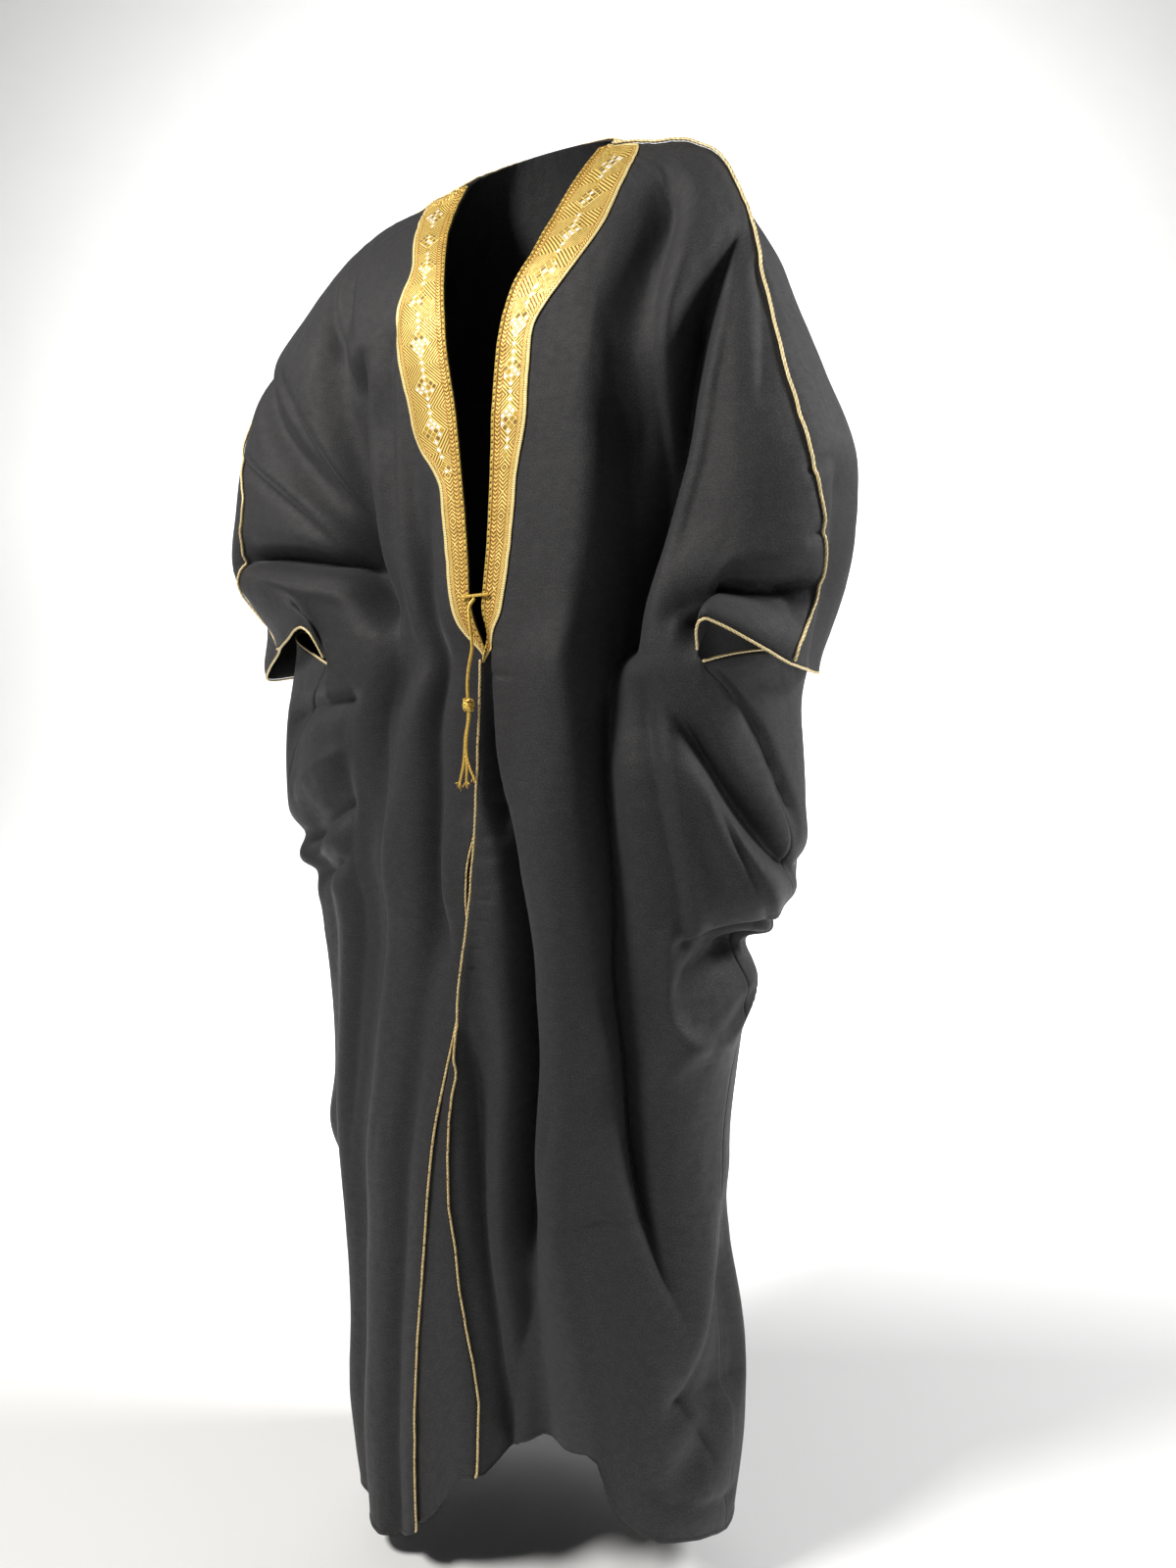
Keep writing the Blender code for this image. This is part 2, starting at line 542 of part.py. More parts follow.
# down the front edges; on the left it follows the rolled edge
for side in ("left", "right"):
    upper, lower = fronts[side]
    edge, inner = [], []
    for row in upper[:]:
        edge.append(row[0])
        inner.append(row[1])
    for i, row in enumerate(lower[1:], 1):
        roll = i - (len(lower) - len(flap))
        if side == "left" and roll > 0:
            edge.append(flap[roll][-1])
            inner.append(flap[roll][-2])
        else:
            edge.append(row[0])
            inner.append(row[1])
    line = beyond(edge, inner, EDGE_CORD / 2 + CLEAR)
    start = next(i for i in range(len(upper)) if level_of(i, False) >= 9.9)
    cord("front_cord_" + side, trimmed(line[start:], 0.0, 0.001), EDGE_CORD, pale_gold)


# ---------------------------------------------------------------- the embroidered band
BAND_LIFT = WALL / 2 + 2 * CLEAR + BAND_THICK / 2
table = np.array(BAND)
for side in ("left", "right"):
    upper = fronts[side][0]
    normals = grid_normals(upper, side)
    rows = []
    for i, row in enumerate(upper):
        level = level_of(i, False)
        if level > table[-1, 0]:
            continue
        length = np.linalg.norm(np.diff(row, axis=0), axis=1).sum()
        width = np.interp(level, table[:, 0], table[:, 1 if side == "left" else 2])
        width = min(width, length - 0.0034)
        rows.append(along_row(row, normals[i], np.linspace(0, width, 6), BAND_LIFT))
    panel("band_" + side, [(rows, side == "left")], gold, BAND_THICK)

# round the back of the neck, between the two arm seams
line = []
for side, order in (("left", 1), ("right", -1)):
    upper = backs[side][0]
    normals = grid_normals(upper, side)
    cols = []
    for k in range(BACK_COLS + 1):
        column = np.array([row[k] for row in upper])
        cols.append(along_row(column, normals[:, k], np.array((0.0005, NECK_BRAID)), BAND_LIFT))
    line += cols[1:] if side == "left" else cols[1:-1][::-1]
rows = [[c[i] for c in line] for i in range(2)]
panel("neck_braid", [(rows, True)], gold, BAND_THICK)

# ---------------------------------------------------------------- the tie
BAR = 0.0032


def on_band(side, level, inward, lift):
    """A point above a band, at a length inward from the front edge."""
    upper = fronts[side][0]
    normals = grid_normals(upper, side)
    at = level / CUFF_LEVEL * UPPER_ROWS
    i = int(at)
    a, b = (along_row(upper[k], normals[k], np.array((inward,)), lift)[0] for k in (i, i + 1))
    return a + (b - a) * (at - i)


# a bar worked across the opening, on the two bands
lift = BAND_LIFT + BAND_THICK / 2 + BAR / 2 + 0.0002
ends = [on_band("right", 8.62, 0.009, lift), on_band("right", 8.64, 0.001, lift),
        on_band("left", 8.68, 0.001, lift), on_band("left", 8.70, 0.011, lift)]
middle = (ends[1] + ends[2]) / 2 + np.array((0, -0.0004, -0.0004))
cord("tie_bar", ends[:2] + [middle] + ends[2:], BAR, gold)
# the cord that hangs from it
HANG = ((middle[0], middle[1], middle[2] - BAR / 2 - 0.0003), (0.0078, -0.1450, -0.4400),
        (0.0084, -0.1468, -0.4500), (0.0098, -0.1479, -0.4610), (0.0113, -0.1486, -0.4720),
        (0.0116, -0.1490, -0.4810), (0.0096, -0.1496, -0.4900), (0.0076, -0.1503, -0.4990),
        (0.0064, -0.1511, -0.5090), (0.0061, -0.1518, -0.5180), (0.0063, -0.1522, -0.5258))
cord("tie_cord", HANG, TIE, gold)
# the knot, and the two ends below it that part in three
KNOT_AT = (0.0067, -0.1525, -0.5350)
ENDS = (
    ((0.0060, -0.1525, -0.5400), (0.0048, -0.1524, -0.5520), (0.0010, -0.1522, -0.5660),
     (-0.0008, -0.1520, -0.5800), (-0.0034, -0.1520, -0.5950), (-0.0088, -0.1520, -0.6130)),
    ((0.0075, -0.1525, -0.5400), (0.0068, -0.1524, -0.5480), (0.0034, -0.1522, -0.5620),
     (0.0014, -0.1520, -0.5790), (0.0036, -0.1520, -0.5940), (0.0093, -0.1520, -0.6070)),
    ((0.0006, -0.1520, -0.5840), (0.0008, -0.1520, -0.5980), (-0.0004, -0.1520, -0.6120)),
)


def softened(points):
    """A smooth line through hand-set points, with a step every 3 mm or so."""
    p = np.array(points, float)
    p = np.vstack((2 * p[0] - p[1], p, 2 * p[-1] - p[-2]))
    out = []
    for p0, p1, p2, p3 in zip(p, p[1:], p[2:], p[3:]):
        steps = max(2, round(np.linalg.norm(p2 - p1) / 0.004))
        for f in np.arange(steps) / steps:
            out.append(0.5 * (2 * p1 + (p2 - p0) * f + (2 * p0 - 5 * p1 + 4 * p2 - p3) * f * f
                              + (3 * p1 - 3 * p2 + p3 - p0) * f ** 3))
    return out + [p[-2]]


bm = bmesh.new()
bmesh.ops.create_uvsphere(bm, u_segments=20, v_segments=12, radius=1.0)
for v in bm.verts:
    v.co = [c * r + at for c, r, at in zip(v.co, KNOT, KNOT_AT)]
mesh = bpy.data.meshes.new("tie_tassel")
bm.to_mesh(mesh)
bm.free()
mesh.shade_smooth()
mesh.materials.append(gold)
knot = bpy.data.objects.new("tie_tassel", mesh)
cloak.objects.link(knot)
for i, points in enumerate(ENDS):
    tube = cord("strand_curve_%d" % i, softened(points), STRAND, gold)
    mesh = bpy.data.meshes.new_from_object(tube)
    bpy.data.objects.remove(tube, do_unlink=True)
    bm = bmesh.new()
    bm.from_mesh(mesh)
    bmesh.ops.remove_doubles(bm, verts=bm.verts, dist=0.00005)
    bmesh.ops.recalc_face_normals(bm, faces=bm.faces)
    bm.to_mesh(mesh)
    bm.free()
    strand = bpy.data.objects.new("strand_%d" % i, mesh)
    cloak.objects.link(strand)
    strand.hide_render = True
    strand.display_type = "WIRE"
    join = knot.modifiers.new("end_%d" % i, "BOOLEAN")
    join.operation = "UNION"
    join.solver = "EXACT"
    join.object = strand
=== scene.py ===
"""A bisht, dressed: a wide open-fronted black cloak with an embroidered gold band.

Everything is in metres. The wearer faces -Y with +Z up, +X is the wearer's left, and
the origin is where the wearer's shoulders hold the cloak.
"""

import math

import bmesh
import bpy
import numpy as np
from mathutils import Matrix, Vector


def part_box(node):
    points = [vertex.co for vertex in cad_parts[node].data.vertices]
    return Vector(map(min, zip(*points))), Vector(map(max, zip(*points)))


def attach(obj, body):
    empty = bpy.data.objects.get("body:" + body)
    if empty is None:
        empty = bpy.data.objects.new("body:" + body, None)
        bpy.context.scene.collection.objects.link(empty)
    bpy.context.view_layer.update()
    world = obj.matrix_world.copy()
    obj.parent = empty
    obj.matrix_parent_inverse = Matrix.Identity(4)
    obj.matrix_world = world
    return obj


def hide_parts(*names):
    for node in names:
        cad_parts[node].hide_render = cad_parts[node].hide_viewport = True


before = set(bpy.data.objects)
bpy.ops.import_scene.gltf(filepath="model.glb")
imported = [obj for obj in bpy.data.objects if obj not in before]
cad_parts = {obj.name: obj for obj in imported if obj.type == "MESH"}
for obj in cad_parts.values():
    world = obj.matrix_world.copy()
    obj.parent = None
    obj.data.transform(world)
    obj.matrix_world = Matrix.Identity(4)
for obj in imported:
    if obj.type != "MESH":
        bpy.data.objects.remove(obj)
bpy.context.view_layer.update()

# ------------------------------------------------------------------ the front panels
# The cloak is a rectangle of black crepe, folded over the shoulders and slit down the
# front. A front panel runs from the opening round to the seam along the top of the arm,
# and below the cuff slit to the seam at the side. It is shown as it hangs when worn.
WALL = 0.0012            # the cloth, and its turned edges
CLEAR = 0.0004           # between a trim and the cloth that carries it
SEAM = 0.00002           # each panel stops this far short of a seam line
ROLL = 0.0026            # radius at which the front edge rolls over
CUFF_LEVEL = 10          # the ring where sleeves and body part
HEM_LEVEL = 21           # the last ring
UPPER_ROWS, LOWER_ROWS = 126, 196
BODY_COLS, SLEEVE_COLS = 112, 44     # front panel: body part, and what the slit frees
ROLL_COLS, FLAP_COLS = 6, 26

# front edge x, y, z | side x, y, z | roundness of front and back
LEFT_RINGS = (
    # the shoulder
    (0.081, 0.012, 0.012, 0.092, 0.019, 0.016, 2.0, 2.0),
    (0.075, -0.020, -0.022, 0.139, 0.012, 0.005, 2.0, 2.0),
    (0.064, -0.050, -0.063, 0.184, 0.010, -0.006, 2.0, 2.1),
    (0.055, -0.080, -0.105, 0.219, 0.008, -0.033, 2.0, 2.3),
    # the sleeve
    (0.040, -0.100, -0.145, 0.241, 0.002, -0.085, 2.1, 2.7),
    (0.031, -0.110, -0.190, 0.262, -0.004, -0.145, 2.2, 3.0),
    (0.027, -0.118, -0.250, 0.294, -0.008, -0.220, 2.3, 3.2),
    (0.025, -0.125, -0.320, 0.326, -0.010, -0.305, 2.3, 3.2),
    (0.022, -0.132, -0.390, 0.328, -0.014, -0.380, 2.4, 3.0),
    (0.017, -0.138, -0.450, 0.316, -0.020, -0.445, 2.6, 2.7),
    (0.018, -0.143, -0.500, 0.308, -0.040, -0.508, 2.8, 2.7),
    # the loose cloth under the arm
    (0.013, -0.144, -0.560, 0.288, 0.010, -0.560, 2.3, 2.4),
    (0.006, -0.145, -0.640, 0.279, 0.020, -0.640, 2.3, 2.4),
    (-0.004, -0.145, -0.710, 0.270, 0.025, -0.715, 2.2, 2.3),
    (-0.014, -0.145, -0.765, 0.246, 0.020, -0.765, 2.2, 2.2),
    (-0.025, -0.145, -0.820, 0.218, 0.015, -0.820, 2.2, 2.2),
    # the skirt
    (-0.038, -0.146, -0.900, 0.208, 0.008, -0.900, 2.2, 2.2),
    (-0.064, -0.148, -1.010, 0.196, 0.000, -1.010, 2.2, 2.2),
    (-0.088, -0.150, -1.120, 0.202, -0.010, -1.120, 2.2, 2.2),
    (-0.102, -0.152, -1.230, 0.212, -0.010, -1.230, 2.2, 2.2),
    (-0.112, -0.154, -1.340, 0.208, -0.010, -1.340, 2.2, 2.2),
    (-0.115, -0.156, -1.450, 0.193, -0.010, -1.450, 2.2, 2.2),
)
RIGHT_RINGS = (
    (-0.080, 0.012, 0.010, -0.091, 0.019, 0.014, 2.0, 2.0),
    (-0.080, -0.010, -0.018, -0.141, 0.012, 0.000, 2.0, 2.0),
    (-0.068, -0.045, -0.058, -0.190, 0.010, -0.010, 2.0, 2.1),
    (-0.050, -0.078, -0.104, -0.239, 0.008, -0.031, 2.0, 2.3),
    (-0.038, -0.098, -0.146, -0.292, 0.000, -0.078, 2.0, 2.5),
    (-0.029, -0.109, -0.190, -0.350, -0.010, -0.143, 2.0, 2.6),
    (-0.017, -0.116, -0.250, -0.390, -0.020, -0.232, 2.0, 2.6),
    (-0.008, -0.123, -0.320, -0.398, -0.030, -0.305, 2.2, 2.6),
    (0.000, -0.131, -0.390, -0.400, -0.040, -0.376, 2.2, 2.6),
    (0.005, -0.138, -0.450, -0.350, -0.055, -0.430, 2.2, 2.5),
    (0.013, -0.139, -0.500, -0.312, -0.070, -0.470, 2.2, 2.4),
    (0.006, -0.139, -0.560, -0.345, -0.035, -0.560, 2.2, 2.2),
    (-0.001, -0.140, -0.640, -0.340, -0.030, -0.640, 2.2, 2.2),
    (-0.011, -0.140, -0.710, -0.330, -0.030, -0.710, 2.2, 2.2),
    (-0.021, -0.140, -0.765, -0.298, -0.030, -0.765, 2.2, 2.2),
    (-0.033, -0.141, -0.820, -0.290, -0.030, -0.820, 2.2, 2.2),
    (-0.045, -0.152, -0.900, -0.284, -0.030, -0.900, 2.2, 2.2),
    (-0.067, -0.158, -1.010, -0.286, -0.030, -1.010, 2.2, 2.2),
    (-0.082, -0.160, -1.120, -0.276, -0.030, -1.120, 2.2, 2.2),
    (-0.096, -0.162, -1.230, -0.272, -0.030, -1.230, 2.2, 2.2),
    (-0.105, -0.164, -1.340, -0.280, -0.030, -1.340, 2.2, 2.2),
    (-0.108, -0.166, -1.450, -0.268, -0.030, -1.450, 2.2, 2.2),
)
# centre back y, z at each ring, the same for both halves
CENTRE_BACK = ((0.058, 0.044), (0.071, 0.016), (0.085, -0.024), (0.098, -0.070), (0.110, -0.122),
               (0.120, -0.180), (0.129, -0.245), (0.138, -0.315), (0.145, -0.385), (0.150, -0.445),
               (0.154, -0.505), (0.158, -0.560), (0.160, -0.640), (0.160, -0.710), (0.154, -0.765),
               (0.149, -0.820), (0.143, -0.900), (0.138, -1.010), (0.138, -1.120), (0.140, -1.230),
               (0.142, -1.340), (0.144, -1.450))
RINGS = {"left": np.hstack((LEFT_RINGS, CENTRE_BACK)),
         "right": np.hstack((RIGHT_RINGS, CENTRE_BACK))}

# u, the place round a ring, is 0 at the front edge, 1 at the side and 2 at the back
SLIT = {"left": 0.66, "right": 0.60}            # where the cuff slit ends at the wrist
LOWER_LIP = {"left": 0.030, "right": 0.012}     # how far its lower lip lies in
SEAM_SWING = 0.12        # the side seam runs out this much of u a level, to the side
# the arm seam: level | u
ARM_SEAM = {
    "left": ((0.0, 1.00), (4.0, 1.00), (5.0, 0.96), (6.0, 0.90), (7.0, 0.885), (8.0, 0.945),
             (8.8, 1.00), (9.3, 0.98), (10.0, 0.92)),
    "right": ((0.0, 1.00), (1.5, 1.04), (5.0, 1.04), (6.0, 0.93), (6.6, 0.82), (7.2, 0.81),
              (8.0, 0.86), (9.0, 0.97), (10.0, 1.00)),
}
# u | how far the upper lip lies up, out and forward of its ring
LIP = {
    "left": ((0.66, 0.000, 0.000, 0.000), (0.68, 0.024, -0.010, 0.008),
             (0.71, 0.046, -0.016, 0.014), (0.77, 0.036, -0.012, 0.012),
             (0.83, 0.021, -0.006, 0.006), (0.91, 0.004, 0.000, 0.000),
             (1.00, 0.000, 0.000, 0.000), (1.14, -0.008, 0.000, 0.000),
             (1.28, -0.008, 0.000, 0.000), (1.45, 0.000, 0.000, 0.000)),
    "right": ((0.60, 0.000, 0.000, 0.000), (0.635, 0.024, -0.006, 0.008),
              (0.68, 0.042, -0.008, 0.014), (0.72, 0.040, -0.004, 0.014),
              (0.78, 0.026, 0.000, 0.006), (0.88, 0.010, 0.000, 0.000),
              (1.00, 0.000, 0.000, 0.000), (1.06, -0.020, 0.050, 0.000),
              (1.12, -0.036, 0.090, 0.000), (1.20, -0.024, 0.055, 0.000),
              (1.28, -0.010, 0.016, 0.000), (1.45, 0.000, 0.000, 0.000)),
}
# folds that run down the cloth
# side, first and last level | u at its top, middle and foot | width, depth in metres
FOLDS = (
    # between the arm and the body
    ("left", 3.8, 10.6, 0.90, 0.495, 0.37, 0.024, -0.024),
    ("left", 2.8, 8.8, 0.84, 0.62, 0.46, 0.020, -0.002),
    ("left", 1.8, 9.5, 0.66, 0.44, 0.34, 0.024, -0.012),
    ("right", 4.4, 9.4, 1.15, 0.47, 0.36, 0.024, -0.018),
    ("right", 2.4, 13.0, 0.72, 0.33, 0.40, 0.022, -0.020),
    # the sleeve's fullness behind the arm
    ("left", 3.4, 10.0, 1.25, 1.30, 1.28, 0.065, 0.022),
    # down the front, beside the opening
    ("left", 12.6, 25.0, 0.12, 0.35, 0.60, 0.022, -0.022),
    ("left", 13.5, 24.0, 0.00, 0.21, 0.42, 0.018, -0.012),
    ("left", 9.5, 25.0, 0.15, 0.43, 0.85, 0.030, 0.012),
    ("left", 8.0, 18.6, 0.40, 0.42, 0.86, 0.026, -0.012),
    ("right", 3.5, 24.0, 0.16, 0.14, 0.12, 0.014, -0.007),
    ("right", 5.0, 10.5, 0.26, 0.25, 0.24, 0.018, -0.008),
    ("right", 10.0, 25.0, 0.42, 0.47, 0.50, 0.026, -0.016),
    ("right", 11.0, 25.0, 0.72, 0.76, 0.78, 0.030, -0.014),
    # from the wrist to the hip
    ("left", 11.0, 15.0, 0.62, 0.80, 1.20, 0.024, 0.012),
    ("left", 10.6, 15.2, 0.52, 0.60, 0.78, 0.020, 0.010),
    # at the side of the skirt
    ("left", 17.2, 20.8, 1.10, 0.98, 0.74, 0.030, -0.013),
    # down the back
    ("left", 4.0, 25.0, 1.28, 1.30, 1.30, 0.030, -0.014),
    ("left", 3.0, 25.0, 1.52, 1.56, 1.58, 0.034, -0.016),
    ("left", 5.0, 25.0, 1.78, 1.80, 1.80, 0.028, -0.011),
    ("right", 4.5, 25.0, 1.30, 1.28, 1.32, 0.030, -0.014),
    ("right", 3.0, 25.0, 1.58, 1.55, 1.60, 0.032, -0.016),
    ("right", 6.0, 25.0, 1.80, 1.78, 1.82, 0.028, -0.011),
)
# folds that run across it
# side, first and last u | level at its start, middle and end | width in levels, depth
SWAGS = (
    ("left", 0.50, 0.98, 9.10, 8.85, 8.75, 0.22, -0.010),
    ("left", 0.56, 1.25, 10.70, 12.70, 12.90, 0.30, -0.018),
    ("left", 0.66, 1.60, 12.80, 13.10, 12.80, 0.55, 0.012),
    ("left", 0.58, 1.55, 14.10, 14.65, 14.40, 0.36, -0.020),
    ("left", 0.60, 1.35, 16.30, 15.25, 15.00, 0.30, 0.012),
    ("right", 0.30, 0.88, 8.05, 7.85, 7.60, 0.22, -0.014),
    ("right", 0.45, 1.15, 11.70, 12.60, 13.00, 0.28, -0.016),
    ("right", 0.50, 1.20, 12.70, 13.50, 13.80, 0.24, -0.012),
    ("right", 0.70, 1.40, 17.30, 17.20, 17.10, 0.36, 0.012),
)
# u | height of the hem
HEM = {
    "left": ((0.00, -1.440), (0.05, -1.430), (0.10, -1.410), (0.15, -1.378),
             (0.18, -1.362), (0.24, -1.362), (0.30, -1.338), (0.36, -1.317),
             (0.42, -1.310), (0.50, -1.312), (0.57, -1.305), (0.60, -1.312),
             (0.63, -1.355), (0.66, -1.378), (0.70, -1.396), (0.76, -1.413),
             (0.84, -1.420), (0.93, -1.430), (1.02, -1.444), (1.40, -1.450),
             (2.00, -1.455)),
    "right": ((0.00, -1.445), (0.06, -1.455), (0.15, -1.466), (0.25, -1.473),
              (0.40, -1.470), (0.60, -1.465), (1.00, -1.458), (2.00, -1.455)),
}
# the left front edge rolls outward below the waist: level | width | turn in degrees
FLAP = ((15.6, 0.000, 0), (15.9, 0.005, 100), (16.2, 0.012, 180), (16.6, 0.016, 180),
        (17.0, 0.023, 180), (17.5, 0.034, 180), (18.0, 0.051, 180), (18.5, 0.064, 180),
        (19.0, 0.080, 180), (19.5, 0.098, 180), (20.0, 0.113, 180), (21.0, 0.128, 180))
# creases drawn along the folds, and planes that turn away beside them: the same columns,
# with one width before the line, towards the opening or the shoulder, and one after it
CREASES = (
    # the left shoulder and chest
    ("left", 1.6, 9.4, 0.73, 0.520, 0.400, 0.034, 0.014, -0.0190),
    ("left", 4.2, 11.0, 0.37, 0.315, 0.310, 0.024, 0.008, 0.0070),
    ("left", 4.0, 10.1, 0.95, 0.521, 0.430, 0.022, 0.008, -0.0400),
    ("left", 3.4, 8.0, 0.72, 0.570, 0.440, 0.024, 0.020, 0.0040),
    ("left", 4.1, 10.0, 0.97, 0.551, 0.460, 0.009, 0.036, 0.0150),
    ("left", 5.2, 11.6, 0.40, 0.370, 0.385, 0.016, 0.080, -0.0300),
    # the left sleeve
    ("left", 4.0, 8.6, 1.00, 0.680, 0.530, 0.014, 0.022, -0.0130),
    ("left", 4.6, 6.6, 0.97, 0.880, 0.780, 0.008, 0.012, -0.0040),
    ("left", 6.9, 10.4, 1.03, 1.050, 1.080, 0.014, 0.040, -0.0110),
    # the left skirt, beside the opening and below the cuff
    ("left", 7.8, 18.9, 0.345, 0.412, 0.850, 0.008, 0.011, -0.0400),
    ("left", 8.6, 16.4, 0.335, 0.345, 0.560, 0.050, 0.006, 0.0110),
    ("left", 8.8, 12.7, 0.00, 0.008, 0.085, 0.006, 0.008, -0.0260),
    ("left", 11.3, 18.8, 0.04, 0.208, 0.365, 0.007, 0.011, -0.0340),
    ("left", 17.0, 22.0, 0.34, 0.330, 0.280, 0.022, 0.016, -0.0120),
    ("left", 15.0, 21.6, -0.055, 0.200, 0.305, 0.006, 0.018, -0.0160),
    ("left", 16.0, 19.8, 0.37, 0.370, 0.330, 0.006, 0.014, -0.0050),
    ("left", 10.2, 14.6, 0.47, 0.560, 0.700, 0.018, 0.008, -0.0130),
    ("left", 13.5, 16.0, 0.60, 0.655, 0.740, 0.010, 0.018, 0.0080),
    ("left", 17.9, 19.8, 1.03, 0.900, 0.740, 0.010, 0.030, -0.0090),
    # the right sleeve and skirt
    ("right", 4.4, 9.4, 0.34, 0.335, 0.305, 0.010, 0.022, -0.0220),
    ("right", 4.6, 8.8, 0.86, 0.440, 0.315, 0.008, 0.020, -0.0140),
    ("right", 5.9, 8.8, 0.93, 0.450, 0.330, 0.014, 0.006, 0.0060),
    ("right", 5.9, 8.8, 1.01, 0.500, 0.350, 0.006, 0.014, -0.0070),
    ("right", 3.0, 5.6, 0.85, 0.540, 0.370, 0.006, 0.012, -0.0060),
    ("right", 2.2, 4.6, 0.90, 0.600, 0.380, 0.008, 0.014, -0.0040),
    ("right", 3.4, 9.6, 0.20, 0.220, 0.240, 0.006, 0.010, -0.0050),
    ("right", 6.6, 15.6, 0.09, 0.160, 0.050, 0.010, 0.016, -0.0150),
    ("right", 6.0, 10.4, 0.27, 0.275, 0.290, 0.010, 0.010, 0.0045),
    ("right", 9.6, 21.5, 0.34, 0.370, 0.400, 0.006, 0.034, -0.0080),
    ("right", 15.6, 21.8, 0.10, 0.130, 0.120, 0.010, 0.016, -0.0060),
    ("right", 10.2, 18.0, 0.49, 0.520, 0.560, 0.012, 0.018, -0.0090),
    # the back
    ("left", 2.0, 9.0, 1.46, 1.500, 1.440, 0.016, 0.024, -0.0090),
    ("left", 9.0, 21.0, 1.62, 1.660, 1.640, 0.018, 0.012, -0.0100),
    ("left", 6.0, 21.6, 1.86, 1.830, 1.850, 0.014, 0.020, -0.0080),
    ("right", 2.4, 9.4, 1.44, 1.470, 1.420, 0.024, 0.014, -0.0090),
    ("right", 8.0, 21.0, 1.66, 1.700, 1.680, 0.012, 0.018, -0.0100),
    ("right", 9.6, 21.4, 1.20, 1.240, 1.260, 0.018, 0.012, -0.0080),
)
# the same, along the folds that run across; the two widths are in levels
CROSS_CREASES = (
    # above the left cuff
    ("left", 0.56, 1.005, 9.22, 9.02, 8.80, 0.07, 0.40, -0.0300),
    # the loose cloth under the left arm
    ("left", 0.53, 1.06, 10.65, 12.12, 13.05, 0.10, 0.24, -0.0140),
    ("left", 0.67, 1.02, 9.90, 11.30, 12.35, 0.09, 0.20, -0.0120),
    ("left", 0.65, 0.96, 11.60, 13.05, 13.95, 0.08, 0.18, -0.0080),
    ("left", 0.61, 1.14, 14.18, 13.98, 13.85, 0.10, 0.16, -0.0130),
    ("left", 0.66, 1.04, 14.72, 14.80, 14.45, 0.26, 0.45, -0.0170),
    ("left", 0.65, 1.14, 15.25, 15.85, 15.00, 0.14, 0.34, 0.0100),
    ("left", 0.72, 1.13, 19.55, 19.45, 19.30, 0.40, 0.12, -0.0120),
    ("left", 0.76, 0.94, 19.42, 19.75, 20.20, 0.05, 0.07, -0.0040),
    ("left", 0.44, 0.72, 17.74, 17.68, 17.50, 0.06, 0.16, -0.0035),
    ("left", 0.64, 1.10, 20.45, 20.58, 20.50, 0.09, 0.09, -0.0050),
    # the left sleeve, where the seam draws it
    ("left", 0.86, 1.02, 7.30, 7.22, 7.10, 0.05, 0.08, -0.0035),
    ("left", 0.88, 1.03, 8.20, 8.05, 7.95, 0.06, 0.08, -0.0045),
    # the right sleeve, and the loose cloth under it
    ("right", 0.33, 0.94, 8.08, 7.76, 7.95, 0.10, 0.24, -0.0170),
    ("right", 0.36, 0.80, 8.60, 8.36, 8.30, 0.07, 0.12, 0.0040),
    ("right", 0.42, 0.86, 10.55, 10.72, 11.20, 0.16, 0.30, -0.0150),
    ("right", 0.46, 0.84, 11.95, 12.48, 13.00, 0.12, 0.30, -0.0140),
    ("right", 0.50, 0.90, 12.85, 13.40, 13.85, 0.10, 0.22, -0.0110),
    ("right", 0.46, 0.80, 11.30, 11.62, 12.10, 0.14, 0.14, 0.0060),
)
# puckers along the left front edge below the band: level | how far they reach in
PUCKERS = ((9.6, 0.020), (10.1, 0.026), (11.6, 0.016), (11.9, 0.020), (12.3, 0.017), (12.6, 0.024),
           (13.0, 0.020), (13.3, 0.026), (13.7, 0.020), (14.0, 0.016), (14.3, 0.018), (14.7, 0.013))
# below the waist the right front's edge lies under the left one, but for a short length
# level | how far it lies to the left and behind its ring
LAP = ((8.8, 0.000, 0.000), (9.8, 0.005, 0.011), (11.8, 0.006, 0.012), (12.6, -0.007, 0.001),
       (13.5, -0.006, 0.001), (14.3, 0.004, 0.009), (15.6, 0.003, 0.006), (16.6, 0.000, 0.000))
# these tables are read as a mean over these steps of level, or of u for the lip
LAP_EASE, SEAM_EASE, LIP_EASE = np.linspace(-0.3, 0.3, 5), (-0.3, 0, 0.3), (-0.02, 0, 0.02)
LAP_REACH = 0.045        # how far into the right front the lap is felt
LAP_FROM, LAP_TO = 9.0, 16.4         # the levels between which the edges are lapped
EDGE_HELD = 0.005        # folds stay this far from the two edges there
FOLD_EASE = 0.2          # a fold grows, and dies away, over this share of its length
BACK_EASE = 0.1          # folds and dents end this much of u before the centre back
PUCKER_DEPTH, PUCKER_WIDTH, PUCKER_LEAN = 0.0060, 0.0035, 0.04
LIP_FROM = 7             # the upper lip begins to lift at this level
LOWER_LIP_TO = 12.5      # the lower lip's hollow ends at this one
LIP_BACK, LIP_UP = 0.020, 0.014
HEM_RING = -1.45         # height of the last ring
HEM_FROM = 16            # below this level the rings ease into the hem's own line
HEM_TURN = 0.009         # the hem's turned part, and how much thicker it is there
HEM_STEP = 0.0006
LEVEL_AT_HEM = 0.11      # height of cloth to a level there
RISE = 0.09              # height of cloth to a level, on the whole
GIRTH = 0.45             # width of cloth to a whole u, on the whole
OUT = {"left": 1, "right": -1}       # the way outward along x
# the crepe's own waves: height | length across and down the cloth | where they start
WAVES = ((0.0005, 0.06, 0.20, 7), (0.0005, 0.022, 0.055, 0), (0.00016, 0.009, 0.017, 0))
# where thread draws the cloth up: height, and how far from the stitches
SEAM_DRAW, EDGE_DRAW = (0.0007, 0.010), (0.0008, 0.013)
EDGE_STITCH = 0.008      # the stitches along the front edge lie this far in


